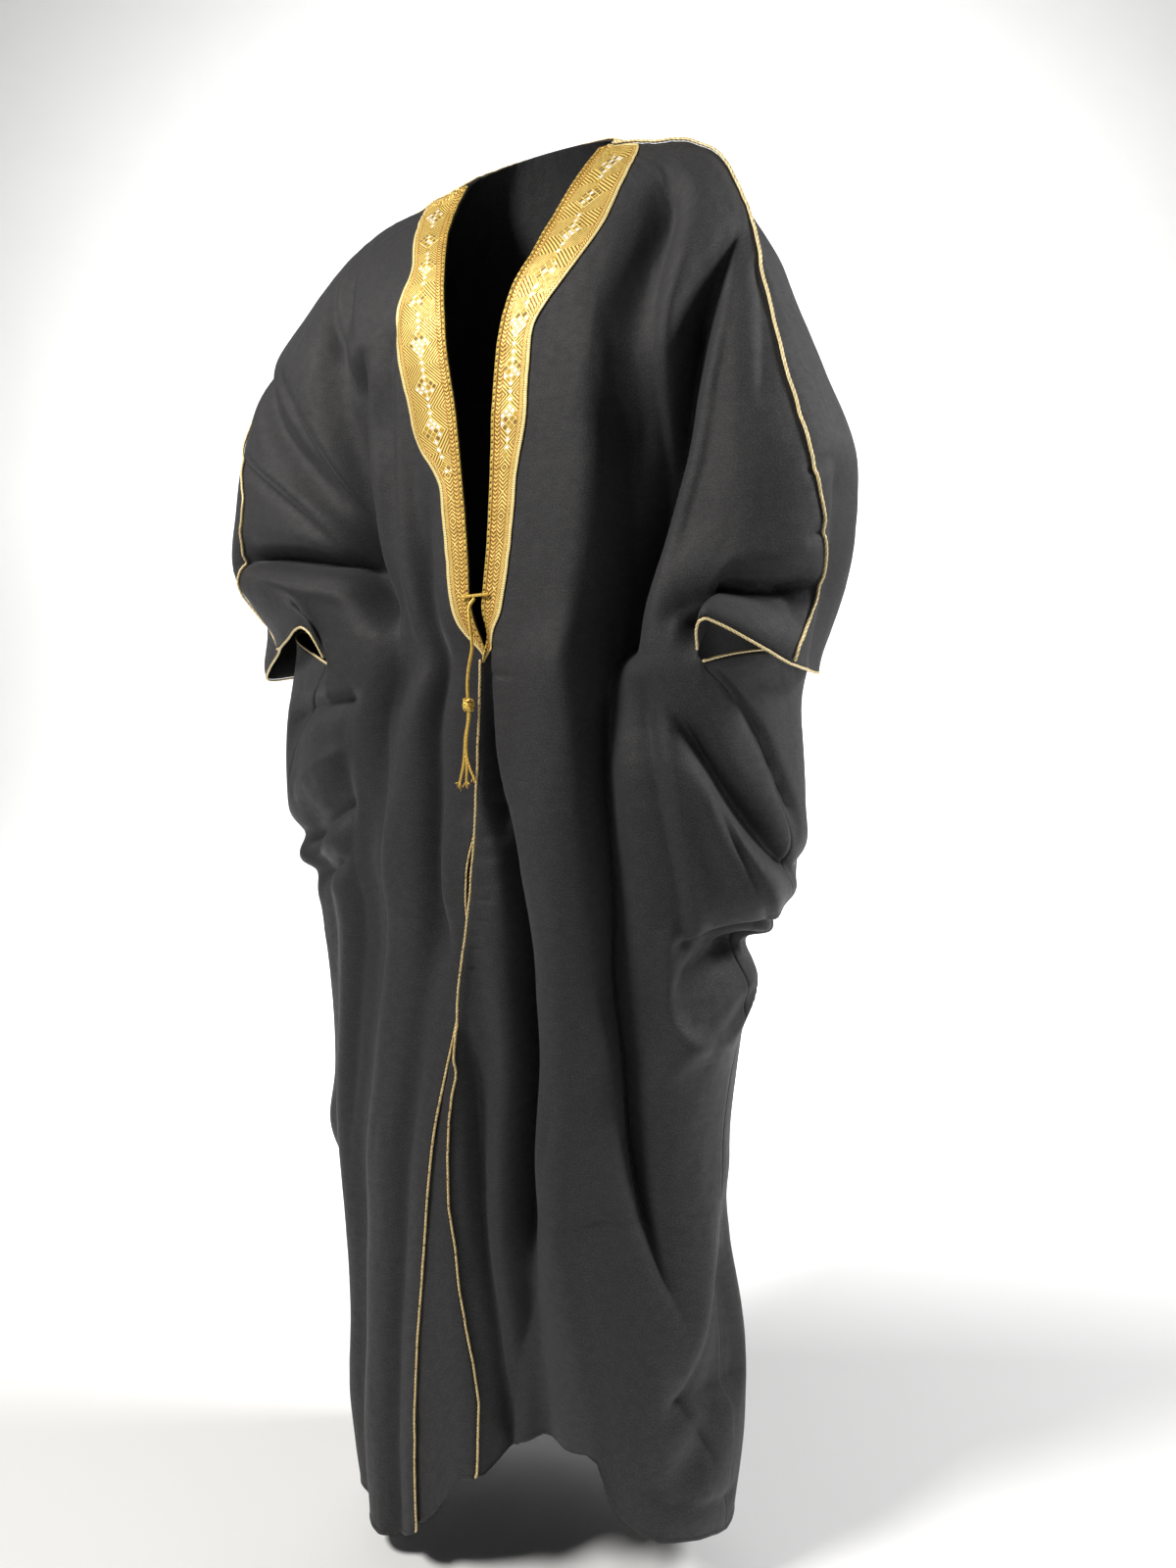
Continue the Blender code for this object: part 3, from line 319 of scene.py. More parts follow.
def smooth(t):
    """Eases from 0 at 0 to 1 at 1."""
    t = np.clip(t, 0.0, 1.0)
    return t * t * (3 - 2 * t)


def bend(t, a, b, c):
    """A curve that is a at t 0, b at a half and c at 1."""
    return a * (1 - t) * (1 - 2 * t) + 4 * b * t * (1 - t) + c * t * (2 * t - 1)


def wander(x, y, seed):
    """Smooth, irregular waves between -1 and 1, about one to a unit of x and y."""
    table = np.random.default_rng(seed).uniform(-1, 1, (61, 67))
    x, y = np.broadcast_arrays(np.asarray(x, float), np.asarray(y, float))
    i, j = np.floor(x).astype(int), np.floor(y).astype(int)
    f, g = smooth(x - i), smooth(y - j)
    a, b = table[i % 61, j % 67], table[(i + 1) % 61, j % 67]
    c, d = table[i % 61, (j + 1) % 67], table[(i + 1) % 61, (j + 1) % 67]
    return (a * (1 - f) + b * f) * (1 - g) + (c * (1 - f) + d * f) * g


def read(table, at, column=1):
    """A column of a table, at places in its first column."""
    table = np.array(table)
    return np.interp(at, table[:, 0], table[:, column])


def glide(p0, p1, p2, p3, f):
    """A smooth curve, p1 at f 0 and p2 at 1, that comes from p0 and goes on to p3."""
    return 0.5 * (2 * p1 + (p2 - p0) * f + (2 * p0 - 5 * p1 + 4 * p2 - p3) * f * f
                  + (3 * p1 - 3 * p2 + p3 - p0) * f ** 3)


def run_along(line):
    """The length along a line of points, to each of them."""
    return np.concatenate(((0,), np.cumsum(np.linalg.norm(np.diff(line, axis=0), axis=1))))


def points_at(line, run, at):
    """Points of a line, at lengths along it."""
    return np.stack([np.interp(at, run, line[:, k]) for k in range(3)], -1)


def ring_at(side, level):
    """The table row at a level, read on a smooth curve through the rows."""
    table = RINGS[side]
    last = len(table) - 1
    i = int(min(max(level, 0), last - 1e-9))
    return glide(table[max(i - 1, 0)], table[i], table[i + 1], table[min(i + 2, last)], level - i)


def quarter(row, a, back):
    """Points of the front or back quarter of a ring, by their angle from its middle."""
    fx, fy, fz, sx, sy, sz, nf, nb, by, bz = row
    c, s = np.maximum(np.cos(a), 0), np.maximum(np.sin(a), 0)
    if back:
        return np.stack((sx * s ** (2 / nb), sy + (by - sy) * c ** (2 / nb),
                         bz + (sz - bz) * (1 - c)), -1)
    return np.stack((fx + (sx - fx) * s ** (2 / nf), sy + (fy - sy) * c ** (2 / nf),
                     fz + (sz - fz) * (1 - c)), -1)


def plain(side, level, u):
    """Points of the plain cloak, with equal steps of u along equal lengths of cloth.

    The second value is the length of the quarter that each point lies on.
    """
    row = ring_at(side, level)
    u = np.asarray(u, float)
    a = np.linspace(0, 1, 129)
    a = (1 - np.cos(a * math.pi)) * math.pi / 4
    out, length = np.empty((len(u), 3)), np.empty(len(u))
    for back in (False, True):
        line = quarter(row, a, back)
        run = run_along(line)
        pick = (u > 1) == back
        share = np.clip(2 - u if back else u, 0, 1)[pick]
        out[pick] = quarter(row, np.interp(share * run[-1], run, a), back)
        length[pick] = run[-1]
    low = max(0.0, (level - HEM_FROM) / (HEM_LEVEL - HEM_FROM)) ** 1.5
    out[:, 2] += (read(HEM[side], u) - HEM_RING) * low
    return out, length


def outward(side, level, u):
    """The way out of the plain cloak at each point."""
    u = np.asarray(u, float)
    along = plain(side, level, np.minimum(u + 0.03, 2))[0] \
        - plain(side, level, np.maximum(u - 0.03, 0))[0]
    down = plain(side, min(level + 0.15, HEM_LEVEL), u)[0] \
        - plain(side, max(level - 0.15, 0), u)[0]
    n = np.cross(down, along) if side == "left" else np.cross(along, down)
    return n / np.maximum(np.linalg.norm(n, axis=1), 1e-9)[:, None]


def valley(away, before, after=None):
    """The section of a fold: round where it has one width, sharp where it has two."""
    if after is None:
        return np.exp(-(away / before) ** 2)
    x = np.abs(np.where(away > 0, away / after, away / before))
    return np.exp(-(x * x + 0.02) ** 0.68 + 0.07)


def folded(side, level, u, length, down, across):
    """The sum of the folds of two tables: those that run down, and those across."""
    total = np.zeros(len(u))
    for where, top, low, u0, u1, u2, *widths, depth in down:
        t = (level - top) / (low - top)
        if where == side and 0 < t < 1:
            away = (u - bend(t, u0, u1, u2)) * length
            ends = smooth(t / FOLD_EASE) * smooth((1 - t) / FOLD_EASE)
            total += depth * ends * valley(away, *widths)
    for where, start, end, l0, l1, l2, *widths, depth in across:
        t = (u - start) / (end - start)
        if where == side:
            away = level - bend(t, l0, l1, l2)
            ends = smooth(t / FOLD_EASE) * smooth((1 - t) / FOLD_EASE)
            total += depth * ends * valley(away, *widths)
    return total


def lapped(level):
    """1 where the left front lies over the right one, below the waist."""
    return float(smooth((level - LAP_FROM) / 0.9) * smooth((LAP_TO - level) / 1.4))


def relief(side, level, u, length):
    """How far the cloth lies out of its plain form, for all its folds."""
    total = folded(side, level, u, length, FOLDS, SWAGS)
    drawn = folded(side, level, u, length, CREASES, CROSS_CREASES)
    if side == "left":
        for at, reach in PUCKERS:
            into = u * length / reach
            away = (level - at - PUCKER_LEAN * into) * RISE
            drawn -= PUCKER_DEPTH * into * np.exp(-(away / PUCKER_WIDTH) ** 2 - into ** 2)
    held = 1 - lapped(level) * np.exp(-(u * length / EDGE_HELD) ** 2)
    return (total + drawn) * held * smooth((2 - u) / BACK_EASE)


def crinkle(side, level, u, length):
    """The cloth's own unevenness: slow waves, small dents, and puckers at its seams."""
    seed = 3 if side == "left" else 53
    x, y = u * GIRTH, level * RISE
    waves = sum(height * wander(x / across + start, y / down, seed + i)
                for i, (height, across, down, start) in enumerate(WAVES))
    to_seam = (u - arm_seam(side, min(level, CUFF_LEVEL))) * length
    above = 1.0 if level < CUFF_LEVEL else 0.0
    drawn = wander(0 * u + 3, y / 0.012, seed + 3) + 0.6 * wander(0 * u, y / 0.03, seed + 4)
    height, reach = SEAM_DRAW
    waves += height * above * drawn * np.exp(-np.abs(to_seam) / reach) * smooth(level / 0.6)
    drawn = wander(0 * u + 5, y / 0.009, seed + 5) + 0.8 * wander(0 * u, y / 0.024, seed + 6)
    strong = 0.5 + 0.8 * float(smooth((level - 9.5) / 1.5) * smooth((15.5 - level) / 3))
    height, reach = EDGE_DRAW
    waves += height * strong * drawn * np.exp(-np.abs(u * length - EDGE_STITCH) / reach)
    hem = np.clip((HEM_LEVEL - level) * LEVEL_AT_HEM / HEM_TURN, 0, 3)
    waves += (HEM_STEP * smooth((1.05 - hem) / 0.12)
              - 0.8 * HEM_STEP * np.exp(-((hem - 0.93) / 0.09) ** 2))
    pull = wander(x / 0.008, 0 * u, seed + 7)
    waves += 0.0005 * pull * np.exp(-((hem - 0.95) / 0.7) ** 2)
    return waves * smooth((2 - u) / BACK_EASE)


def arm_seam(side, level):
    """Where the arm seam lies: along the top of the arm and down to the cuff."""
    return sum(float(read(ARM_SEAM[side], level + d)) for d in SEAM_EASE) / 3


TIP_SHARE = 1 / 3        # the cuff slit ends this far from the arm seam to the centre back


def slit_tip(side):
    """The outer end of the cuff slit, behind the arm seam."""
    seam = arm_seam(side, CUFF_LEVEL)
    return seam + (2 - seam) * TIP_SHARE


def cloth(side, level, u, region="upper"):
    """Points of the folded cloth. The slit frees an upper lip and a lower one."""
    u = np.asarray(u, float)
    p, length = plain(side, level, u)
    lift = relief(side, level, u, length) + crinkle(side, level, u, length)
    p = p + outward(side, level, u) * lift[:, None]
    start, tip = SLIT[side], slit_tip(side)
    if side == "right":
        near = np.exp(-(u * length / LAP_REACH) ** 2)
        for axis in (0, 1):
            p[:, axis] += read(LAP, level + LAP_EASE, axis + 1).mean() * near
    if region == "upper" and level > LIP_FROM:
        up, out, forward = (sum(read(LIP[side], u + d, k) for d in LIP_EASE) / 3
                            for k in (1, 2, 3))
        w = smooth((level - LIP_FROM) / (CUFF_LEVEL - LIP_FROM)) ** 2
        p = p + np.stack((OUT[side] * out, -forward, up), -1) * w
    if region == "lower" and level < LOWER_LIP_TO:
        t = np.clip((u - start) / (tip - start), 0, 1)
        w = np.sin(math.pi * t) * smooth((LOWER_LIP_TO - level) / (LOWER_LIP_TO - CUFF_LEVEL))
        p = p + np.stack((-OUT[side] * LOWER_LIP[side] * w, LIP_BACK * w, LIP_UP * w), -1)
    p[u >= 2, 0] = 0.0
    return p


def seam_place(side, level):
    """Where the side seam lies: it leaves the wrist and swings out to the side."""
    start = SLIT[side]
    return min(start + SEAM_SWING * (level - CUFF_LEVEL), 1.0)


def levels(lower):
    """The levels of the rows: even, and close together at the hem."""
    if not lower:
        return np.linspace(0, CUFF_LEVEL, UPPER_ROWS + 1)
    near_hem = HEM_LEVEL - np.array((0.15, 0.12, 0.10, 0.085, 0.075, 0.06, 0.03, 0.0))
    even = np.linspace(CUFF_LEVEL, near_hem[0], LOWER_ROWS + 1 - len(near_hem), endpoint=False)
    return np.concatenate((even, near_hem))


def toward_edge(cols):
    """Shares from 0 to 1 with their steps closer together at the front edge."""
    t = np.linspace(0, 1, cols + 1)
    return 0.72 * t + 0.28 * t * t


def front_grid(side):
    """Rows of the front panel: full width above the cuff, the body part below it."""
    start = SLIT[side]
    upper, lower = [], []
    for level in levels(False):
        w = float(smooth(level / CUFF_LEVEL))
        knee = (1 - w) * BODY_COLS / (BODY_COLS + SLEEVE_COLS) + w * start
        u = np.concatenate((knee * toward_edge(BODY_COLS),
                            np.linspace(knee, arm_seam(side, level), SLEEVE_COLS + 1)[1:]))
        upper.append(cloth(side, level, u))
    for level in levels(True):
        lower.append(cloth(side, level, seam_place(side, level) * toward_edge(BODY_COLS), "lower"))
    lower[0] = upper[-1][:BODY_COLS + 1].copy()
    return upper, lower


def unit(v):
    """The same direction, at length 1."""
    return v / max(np.linalg.norm(v), 1e-12)


def grid_normals(rows, side):
    """The way out of the cloth at each point of its rows."""
    g = np.array(rows)
    n = np.cross(np.gradient(g, axis=0), np.gradient(g, axis=1))
    n = n if side == "left" else -n
    return n / np.maximum(np.linalg.norm(n, axis=2), 1e-12)[:, :, None]


def along_row(row, normals, places, lift):
    """Points at lengths along a row of the panel, moved out from it."""
    run = run_along(row)
    pick, out = points_at(row, run, places), points_at(normals, run, places)
    return pick + out / np.linalg.norm(out, axis=1)[:, None] * np.reshape(lift, (-1, 1))


def flap_grid(lower):
    """The rolled front edge: first round the roll, then back over the panel."""
    normals = grid_normals(lower, "left")
    rows = []
    for level, row, normal in zip(levels(True), lower, normals):
        if level < FLAP[0][0]:
            continue
        if not rows:
            rows.append(np.array([row[0]] * (ROLL_COLS + FLAP_COLS + 1)))
            continue
        width = float(read(FLAP, level))
        turn = math.radians(float(read(FLAP, level, 2)))
        edge, away, out = row[0], unit(row[0] - row[3]), normal[0]
        arc = min(ROLL * turn, width * 0.6)
        r = arc / max(turn, 1e-6)
        line = [edge]
        for c in range(1, ROLL_COLS + 1):
            a = turn * c / ROLL_COLS
            line.append(edge + away * r * math.sin(a) + out * r * (1 - math.cos(a)))
        over = (width - arc) * np.arange(1, FLAP_COLS + 1) / FLAP_COLS
        free = line[-1] + np.outer(over, away * math.cos(turn) + out * math.sin(turn))
        laid = along_row(row, normal, over, 2 * ROLL)
        rows.append(np.array(line + list(free + (laid - free) * float(smooth((turn - 2.2) / 0.8)))))
    return rows


def grid_into(bm, rows, place, start=0.0, flip=False):
    """Adds a grid of cloth to a mesh. Each point also keeps its place on the flat cloth."""
    g = np.array(rows)
    high, wide = g.shape[:2]
    across = np.concatenate((np.zeros((high, 1)), np.cumsum(np.linalg.norm(
        np.diff(g, axis=1), axis=2), axis=1)), axis=1)
    steps = np.linalg.norm(np.diff(g, axis=0), axis=2).mean(axis=1)
    down = start + np.concatenate(((0,), np.cumsum(steps)))
    made = bmesh.ops.create_grid(bm, x_segments=wide - 1, y_segments=high - 1, size=1.0)
    for v in made["verts"]:
        j, i = round((v.co.x + 1) / 2 * (wide - 1)), round((v.co.y + 1) / 2 * (high - 1))
        v.co = g[i, j].tolist()
        v[place] = (across[i, j], down[i], 0.0)
    if flip:
        faces = {f for v in made["verts"] for f in v.link_faces}
        bmesh.ops.reverse_faces(bm, faces=list(faces))
    return down[-1]


def piece(name, bm, mat):
    """An object from a finished bmesh."""
    mesh = bpy.data.meshes.new(name)
    bm.to_mesh(mesh)
    bm.free()
    mesh.shade_smooth()
    mesh.materials.append(mat)
    obj = bpy.data.objects.new(name, mesh)
    bpy.context.scene.collection.objects.link(obj)
    return obj


def thickened(obj, wall, offset):
    """Gives a sheet its thickness: half to each side at offset 0, all behind it at -1."""
    shell = obj.modifiers.new("wall", "SOLIDIFY")
    shell.thickness = wall
    shell.offset = offset
    return obj


def panel(name, grids):
    """A shell of crepe from grids of points, welded where they coincide."""
    bm = bmesh.new()
    place = bm.verts.layers.float_vector.new("place")
    start = 0.0
    for rows, flip in grids:
        start = grid_into(bm, rows, place, start, flip)
    bmesh.ops.remove_doubles(bm, verts=bm.verts, dist=0.00001)
    return thickened(piece(name, bm, black), WALL, 0.0)


def stop_short(rows, col, by):
    """Moves a column of points towards its neighbour, to stop short of a seam."""
    step = 1 if col == 0 else -1
    for row in rows:
        row[col] = row[col] + unit(row[col + step] - row[col]) * by


class Recipe:
    """A material of nodes, on the Principled shader."""

    def __init__(self, name, **constants):
        self.material = bpy.data.materials.new(name)
        self.material.use_nodes = True
        self.tree = self.material.node_tree
        self.shader = self.tree.nodes["Principled BSDF"]
        for socket, value in constants.items():
            self.shader.inputs[socket.replace("_", " ")].default_value = value

    def add(self, kind, inputs=(), output=0, **settings):
        node = self.tree.nodes.new("ShaderNode" + kind)
        for key, value in settings.items():
            setattr(node, key, value)
        for socket, value in dict(inputs).items():
            self.set(node.inputs[socket], value)
        return node.outputs[output]

    def set(self, socket, value):
        if isinstance(value, bpy.types.NodeSocket):
            self.tree.links.new(value, socket)
        else:
            socket.default_value = value

    def maths(self, operation, a, b=0.0, c=0.0):
        return self.add("Math", {0: a, 1: b, 2: c}, operation=operation)

    def attribute(self, name, output="Vector"):
        return self.add("Attribute", output=output, attribute_name=name)

    def noise(self, vector, scale, detail=2.0, rough=0.5):
        return self.add("TexNoise", {"Vector": vector, "Scale": scale, "Detail": detail,
                                     "Roughness": rough}, output="Fac")

    def scaled(self, vector, by):
        return self.add("VectorMath", {0: vector, 1: by}, operation="MULTIPLY")

    def span(self, value, low, high, to_low=0.0, to_high=1.0, shape="SMOOTHSTEP"):
        """Value between two limits, turned into another range and held there."""
        return self.add("MapRange", {0: value, 1: low, 2: high, 3: to_low, 4: to_high},
                        interpolation_type=shape)

    def mix(self, share, a, b):
        node = self.tree.nodes.new("ShaderNodeMix")
        node.data_type = "RGBA"
        for socket, value in ((0, share), (6, a), (7, b)):
            self.set(node.inputs[socket], value)
        return node.outputs[2]

    def bump(self, height, distance, strength=1.0, under=None):
        inputs = {"Height": height, "Distance": distance, "Strength": strength}
        if under is not None:
            inputs["Normal"] = under
        return self.add("Bump", inputs)

    def connect(self, **sockets):
        for socket, value in sockets.items():
            self.set(self.shader.inputs[socket.replace("_", " ")], value)
        return self.material


def crepe():
    """Fine black crepe: hard-twisted threads, a pebbled face and a soft sheen."""
    r = Recipe("black_crepe", Sheen_Weight=0.10, Sheen_Roughness=0.35,
               Sheen_Tint=(0.86, 0.86, 0.92, 1), Specular_IOR_Level=0.28)
    place = r.attribute("place")
    warp = r.add("TexWave", {"Vector": place, "Scale": 1000.0, "Distortion": 3.0, "Detail": 2.0,
                             "Detail Scale": 1.4}, output="Fac", bands_direction="X")
    weft = r.add("TexWave", {"Vector": place, "Scale": 860.0, "Distortion": 3.5, "Detail": 2.0,
                             "Detail Scale": 1.2}, output="Fac", bands_direction="Y")
    thread = r.maths("ADD", warp, weft)
    pebble = r.noise(place, 620.0, 3.0, 0.62)
    mottle = r.noise(place, 95.0, 3.0, 0.6)
    face = r.maths("MULTIPLY_ADD", thread, 0.22, pebble)
    streak = r.noise(r.scaled(place, (1.0, 7.0, 1.0)), 60.0, 3.0, 0.65)
    colour = r.mix(r.span(pebble, 0.34, 0.70), (0.013, 0.0125, 0.013, 1),
                   (0.039, 0.038, 0.0395, 1))
    colour = r.mix(r.span(mottle, 0.35, 0.7, 0.0, 0.35), colour, (0.015, 0.0145, 0.016, 1))
    rough = r.span(r.maths("MULTIPLY_ADD", streak, 0.5, r.maths("MULTIPLY", mottle, 0.5)),
                   0.3, 0.75, 0.54, 0.70)
    soft = r.bump(r.noise(place, 150.0, 2.0), 0.0005, 0.5)
    return r.connect(Base_Color=colour, Roughness=rough, Normal=r.bump(face, 0.00022, 0.75, soft))


black = crepe()
fronts, flap = {}, []
for side in ("left", "right"):
    flip = side == "left"
    fronts[side] = front_grid(side)
    upper, lower = ([row.copy() for row in rows] for rows in fronts[side])
    stop_short(upper, -1, SEAM)
    stop_short(lower[1:], -1, SEAM)
    grids = [(upper, flip), (lower, flip)]
    if side == "left":
        flap = flap_grid(lower)
        grids.append((flap, not flip))
    front = panel("front_panel_" + side, grids)
    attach(front, "root")
    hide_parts("front_" + side)

# ------------------------------------------------------------------ the back panel
# One piece of the same crepe, across both shoulders. It is sewn to the fronts along the
# arms and down the sides; between them its edge is the back of each cuff slit.
BACK_COLS, LIP_COLS = 66, 26
TIP_COL = round(BACK_COLS * TIP_SHARE)


def back_grid(side):
    """Rows of half the back: from the arm seam, then from the side seam and the lip."""
    tip = slit_tip(side)
    upper, lower = [], []
    for level in levels(False):
        upper.append(cloth(side, level, np.linspace(arm_seam(side, level), 2, BACK_COLS + 1)))
    rest = BACK_COLS - TIP_COL
    for level in levels(True):
        edge = seam_place(side, level)
        w = float(smooth((level - CUFF_LEVEL) / 4))
        knee = tip * (1 - w) + (edge + (2 - edge) * LIP_COLS / (LIP_COLS + rest)) * w
        u = np.concatenate((np.linspace(edge, knee, LIP_COLS + 1),
                            np.linspace(knee, 2, rest + 1)[1:]))
        lower.append(cloth(side, level, u, "lower"))
    lower[0][LIP_COLS:] = upper[-1][TIP_COL:]
    return upper, lower


backs, grids = {}, []
for side in ("left", "right"):
    flip = side == "left"
    backs[side] = back_grid(side)
    upper, lower = ([row.copy() for row in rows] for rows in backs[side])
    stop_short(upper, 0, SEAM)
    stop_short(lower, 0, SEAM)
    grids += [(upper, flip), (lower, flip)]
back = panel("back_panel", grids)
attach(back, "root")
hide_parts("back")

# ------------------------------------------------------------------ cords on the seams
# Two strands of pale metal thread, each wound round a cotton core, are twisted together
# and couched over the seam along each arm, from the shoulder down to the cuff.
PIPING = 0.0034
PIPING_PITCH = 0.0105


def beyond(edge, inner, by):
    """A line that runs along an edge, square out from the cloth inside it."""
    e, n = np.array(edge), np.array(inner)
    along = np.gradient(e, axis=0)
    along = along / np.maximum(np.linalg.norm(along, axis=1), 1e-9)[:, None]
    out = e - n
    out = out - along * (out * along).sum(1)[:, None]
    return e + out / np.maximum(np.linalg.norm(out, axis=1), 1e-9)[:, None] * by


def trimmed(points, start, end):
    """A line of points, shortened by a length at each end."""
    p = np.array(points, float)
    run = run_along(p)
    keep = (run > start + 0.002) & (run < run[-1] - end - 0.002)
    return points_at(p, run, np.concatenate(((start,), run[keep], (run[-1] - end,))))


def even(points, step):
    """The same line with points at even steps, and its small kinks eased."""
    p = np.array(points, float)
    run = run_along(p)
    line = points_at(p, run, np.linspace(0, run[-1], max(3, round(run[-1] / step) + 1)))
    for _ in range(2):
        line[1:-1] = (line[:-2] + 2 * line[1:-1] + line[2:]) / 4
    return line


def frames_along(line):
    """Two directions square to a line, which turn with it and don't twist about it."""
    t = np.gradient(line, axis=0)
    t = t / np.maximum(np.linalg.norm(t, axis=1), 1e-12)[:, None]
    side = unit(np.cross(t[0], (0.31, 0.57, 0.76)))
    sides = []
    for way in t:
        side = unit(side - way * float(side @ way))
        sides.append(side)
    sides = np.array(sides)
    return sides, np.cross(t, sides)


def rope_into(bm, line, diameter, plies, pitch, deep=0.30, around=12, step=None, thin=(1, 1)):
    """A twisted cord along a line. "lay" is 1 on top of a strand, 0 in a groove.

    The cord thins to a share of its diameter from a length along it: thin is both.
    """
    place = bm.verts.layers.float_vector.get("place") or bm.verts.layers.float_vector.new("place")
    lay = bm.verts.layers.float.get("lay") or bm.verts.layers.float.new("lay")
    line = even(line, step or pitch / 7)
    run = run_along(line)
    one, two = frames_along(line)
    made = bmesh.ops.create_grid(bm, x_segments=around, y_segments=len(line) - 1, size=1.0)
    for v in made["verts"]:
        j, i = round((v.co.x + 1) / 2 * around), round((v.co.y + 1) / 2 * (len(line) - 1))
        turn = 2 * math.pi * j / around
        crown = abs(math.cos(plies / 2 * (turn - 2 * math.pi * run[i] / pitch)))
        r = diameter / 2 * (1 - deep + deep * crown ** 0.8)
        r *= 1 - (1 - thin[1]) * float(smooth((run[i] - thin[0]) / 0.006))
        tip = min(run[i], run[-1] - run[i]) / (diameter * 0.4)
        r *= math.sqrt(max(1 - max(1 - tip, 0) ** 2, 0.02))
        v.co = (line[i] + (one[i] * math.cos(turn) + two[i] * math.sin(turn)) * r).tolist()
        v[place] = (turn * diameter / 2, run[i], 0.0)
        v[lay] = crown
    bmesh.ops.remove_doubles(bm, verts=made["verts"], dist=0.000002)
    open_edges = [e for e in bm.edges if e.is_boundary]
    bmesh.ops.holes_fill(bm, edges=open_edges, sides=around)
    bmesh.ops.recalc_face_normals(bm, faces=bm.faces)


def rope(name, line, diameter, plies, pitch, mat, **shape):
    """The same cord as a piece of its own."""
    bm = bmesh.new()
    rope_into(bm, line, diameter, plies, pitch, **shape)
    return piece(name, bm, mat)


def metal_thread(name, bright, dull, groove, speck, metallic):
    """Metal foil wound round a core: fine turns across the strand, and painted shade that darkens
    the grooves.
    """
    r = Recipe(name, Metallic=metallic, Specular_IOR_Level=0.5, Sheen_Weight=0.08)
    place, lay = r.attribute("place"), r.attribute("lay", "Fac")
    turns = r.add("TexWave", {"Vector": place, "Scale": 420.0, "Distortion": 1.2, "Detail": 1.0},
                  output="Fac", bands_direction="DIAGONAL")
    patch = r.noise(place, 240.0, 2.0)
    colour = r.mix(r.span(patch, 0.3, 0.72), bright, dull)
    colour = r.mix(r.span(turns, 0.0, 0.5, 0.45, 0.0), colour, dull)
    flecks = r.span(r.noise(r.scaled(place, (1.0, 1.6, 1.0)), 130.0, 1.0), 0.60, 0.68, 0.0, speck)
    colour = r.mix(flecks, colour, groove)
    # painted shade: where lay is low, in the grooves between the plies, the colour goes to the
    # groove colour
    colour = r.mix(r.span(lay, 0.10, 0.52, 1.0, 0.0), colour, groove)
    rough = r.span(patch, 0.2, 0.8, 0.34, 0.56)
    return r.connect(Base_Color=colour, Roughness=rough, Normal=r.bump(turns, 0.00015, 0.8))


# the third colour is painted shade for the grooves between the plies, and colours the few flecks
cream_cord = metal_thread("cream_gold_cord", (0.88, 0.76, 0.46, 1), (0.72, 0.56, 0.26, 1),
                          (0.26, 0.16, 0.05, 1), 0.15, 0.35)
for side in ("left", "right"):
    upper, behind = fronts[side][0], backs[side][0]
    lift = WALL / 2 + PIPING / 2 + CLEAR / 2
    line = []
    for i in range(UPPER_ROWS + 1):
        down = upper[min(i + 1, UPPER_ROWS)][-1] - upper[max(i - 1, 0)][-1]
        out = np.cross(down, behind[i][2] - upper[i][-4]) * OUT[side]
        line.append(upper[i][-1] + unit(out) * lift)
    name = "arm_seam_piping_" + side
    piping = rope(name + "_twisted", trimmed(line, 0.0, 0.001), PIPING, 2, PIPING_PITCH, cream_cord)
    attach(piping, "root")
    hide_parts(name)

# ------------------------------------------------------------------ cords round the cuffs
# The same twist in a thinner cord, whipped along the turned edge of each cuff slit: one
# length under the upper lip, the other on the lip behind it.
EDGE_CORD = 0.0028
EDGE_PITCH = 0.0088

drop = EDGE_CORD / 2 + WALL / 4
for side in ("left", "right"):
    upper = fronts[side][0]
    back_up, back_low = backs[side]
    over = list(upper[-1][BODY_COLS + 1:]) + list(back_up[-1][1:TIP_COL + 1])
    inside = list(upper[-4][BODY_COLS + 1:]) + list(back_up[-4][1:TIP_COL + 1])
    under, below = back_low[0][:LIP_COLS + 1], back_low[3][:LIP_COLS + 1]
    for which, line in (("over", trimmed(beyond(over, inside, drop), 0.0, 0.002)),
                        ("under", trimmed(beyond(under, below, drop), 0.0, 0.004))):
        name = "cuff_piping_%s_%s" % (side, which)
        piping = rope(name + "_twisted", line, EDGE_CORD, 2, EDGE_PITCH, cream_cord)
        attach(piping, "root")
        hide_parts(name)

# ------------------------------------------------------------------ cords down the fronts
# Below the band each front edge carries the same cord to the hem. Painted shade darkens its
# grooves nearly to black, and on the left it follows the edge where that rolls outward.
FRONT_TOP = 9.9

# the third colour is the near-black painted shade of the grooves, and also colours the flecks
front_cord = metal_thread("fleck_gold_cord", (0.95, 0.79, 0.44, 1), (0.74, 0.52, 0.20, 1),
                          (0.035, 0.022, 0.012, 1), 0.75, 0.35)
for side in ("left", "right"):
    upper, lower = fronts[side]
    rolled = len(lower) - len(flap)
    edge = [row[0] for row in upper] + [row[0] for row in lower[1:]]
    inner = [row[3] for row in upper] + [row[3] for row in lower[1:]]
    if side == "left":
        for roll in range(1, len(flap)):
            edge[UPPER_ROWS + rolled + roll] = flap[roll][-1]
            inner[UPPER_ROWS + rolled + roll] = flap[roll][-2]
    line = beyond(edge, inner, EDGE_CORD / 2 + CLEAR / 2)
    start = int(FRONT_TOP / CUFF_LEVEL * UPPER_ROWS)
    name = "front_cord_" + side
    cord = rope(name + "_twisted", trimmed(line[start:], 0.0, 0.001), EDGE_CORD, 2, EDGE_PITCH,
                front_cord)
    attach(cord, "root")
    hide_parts(name)

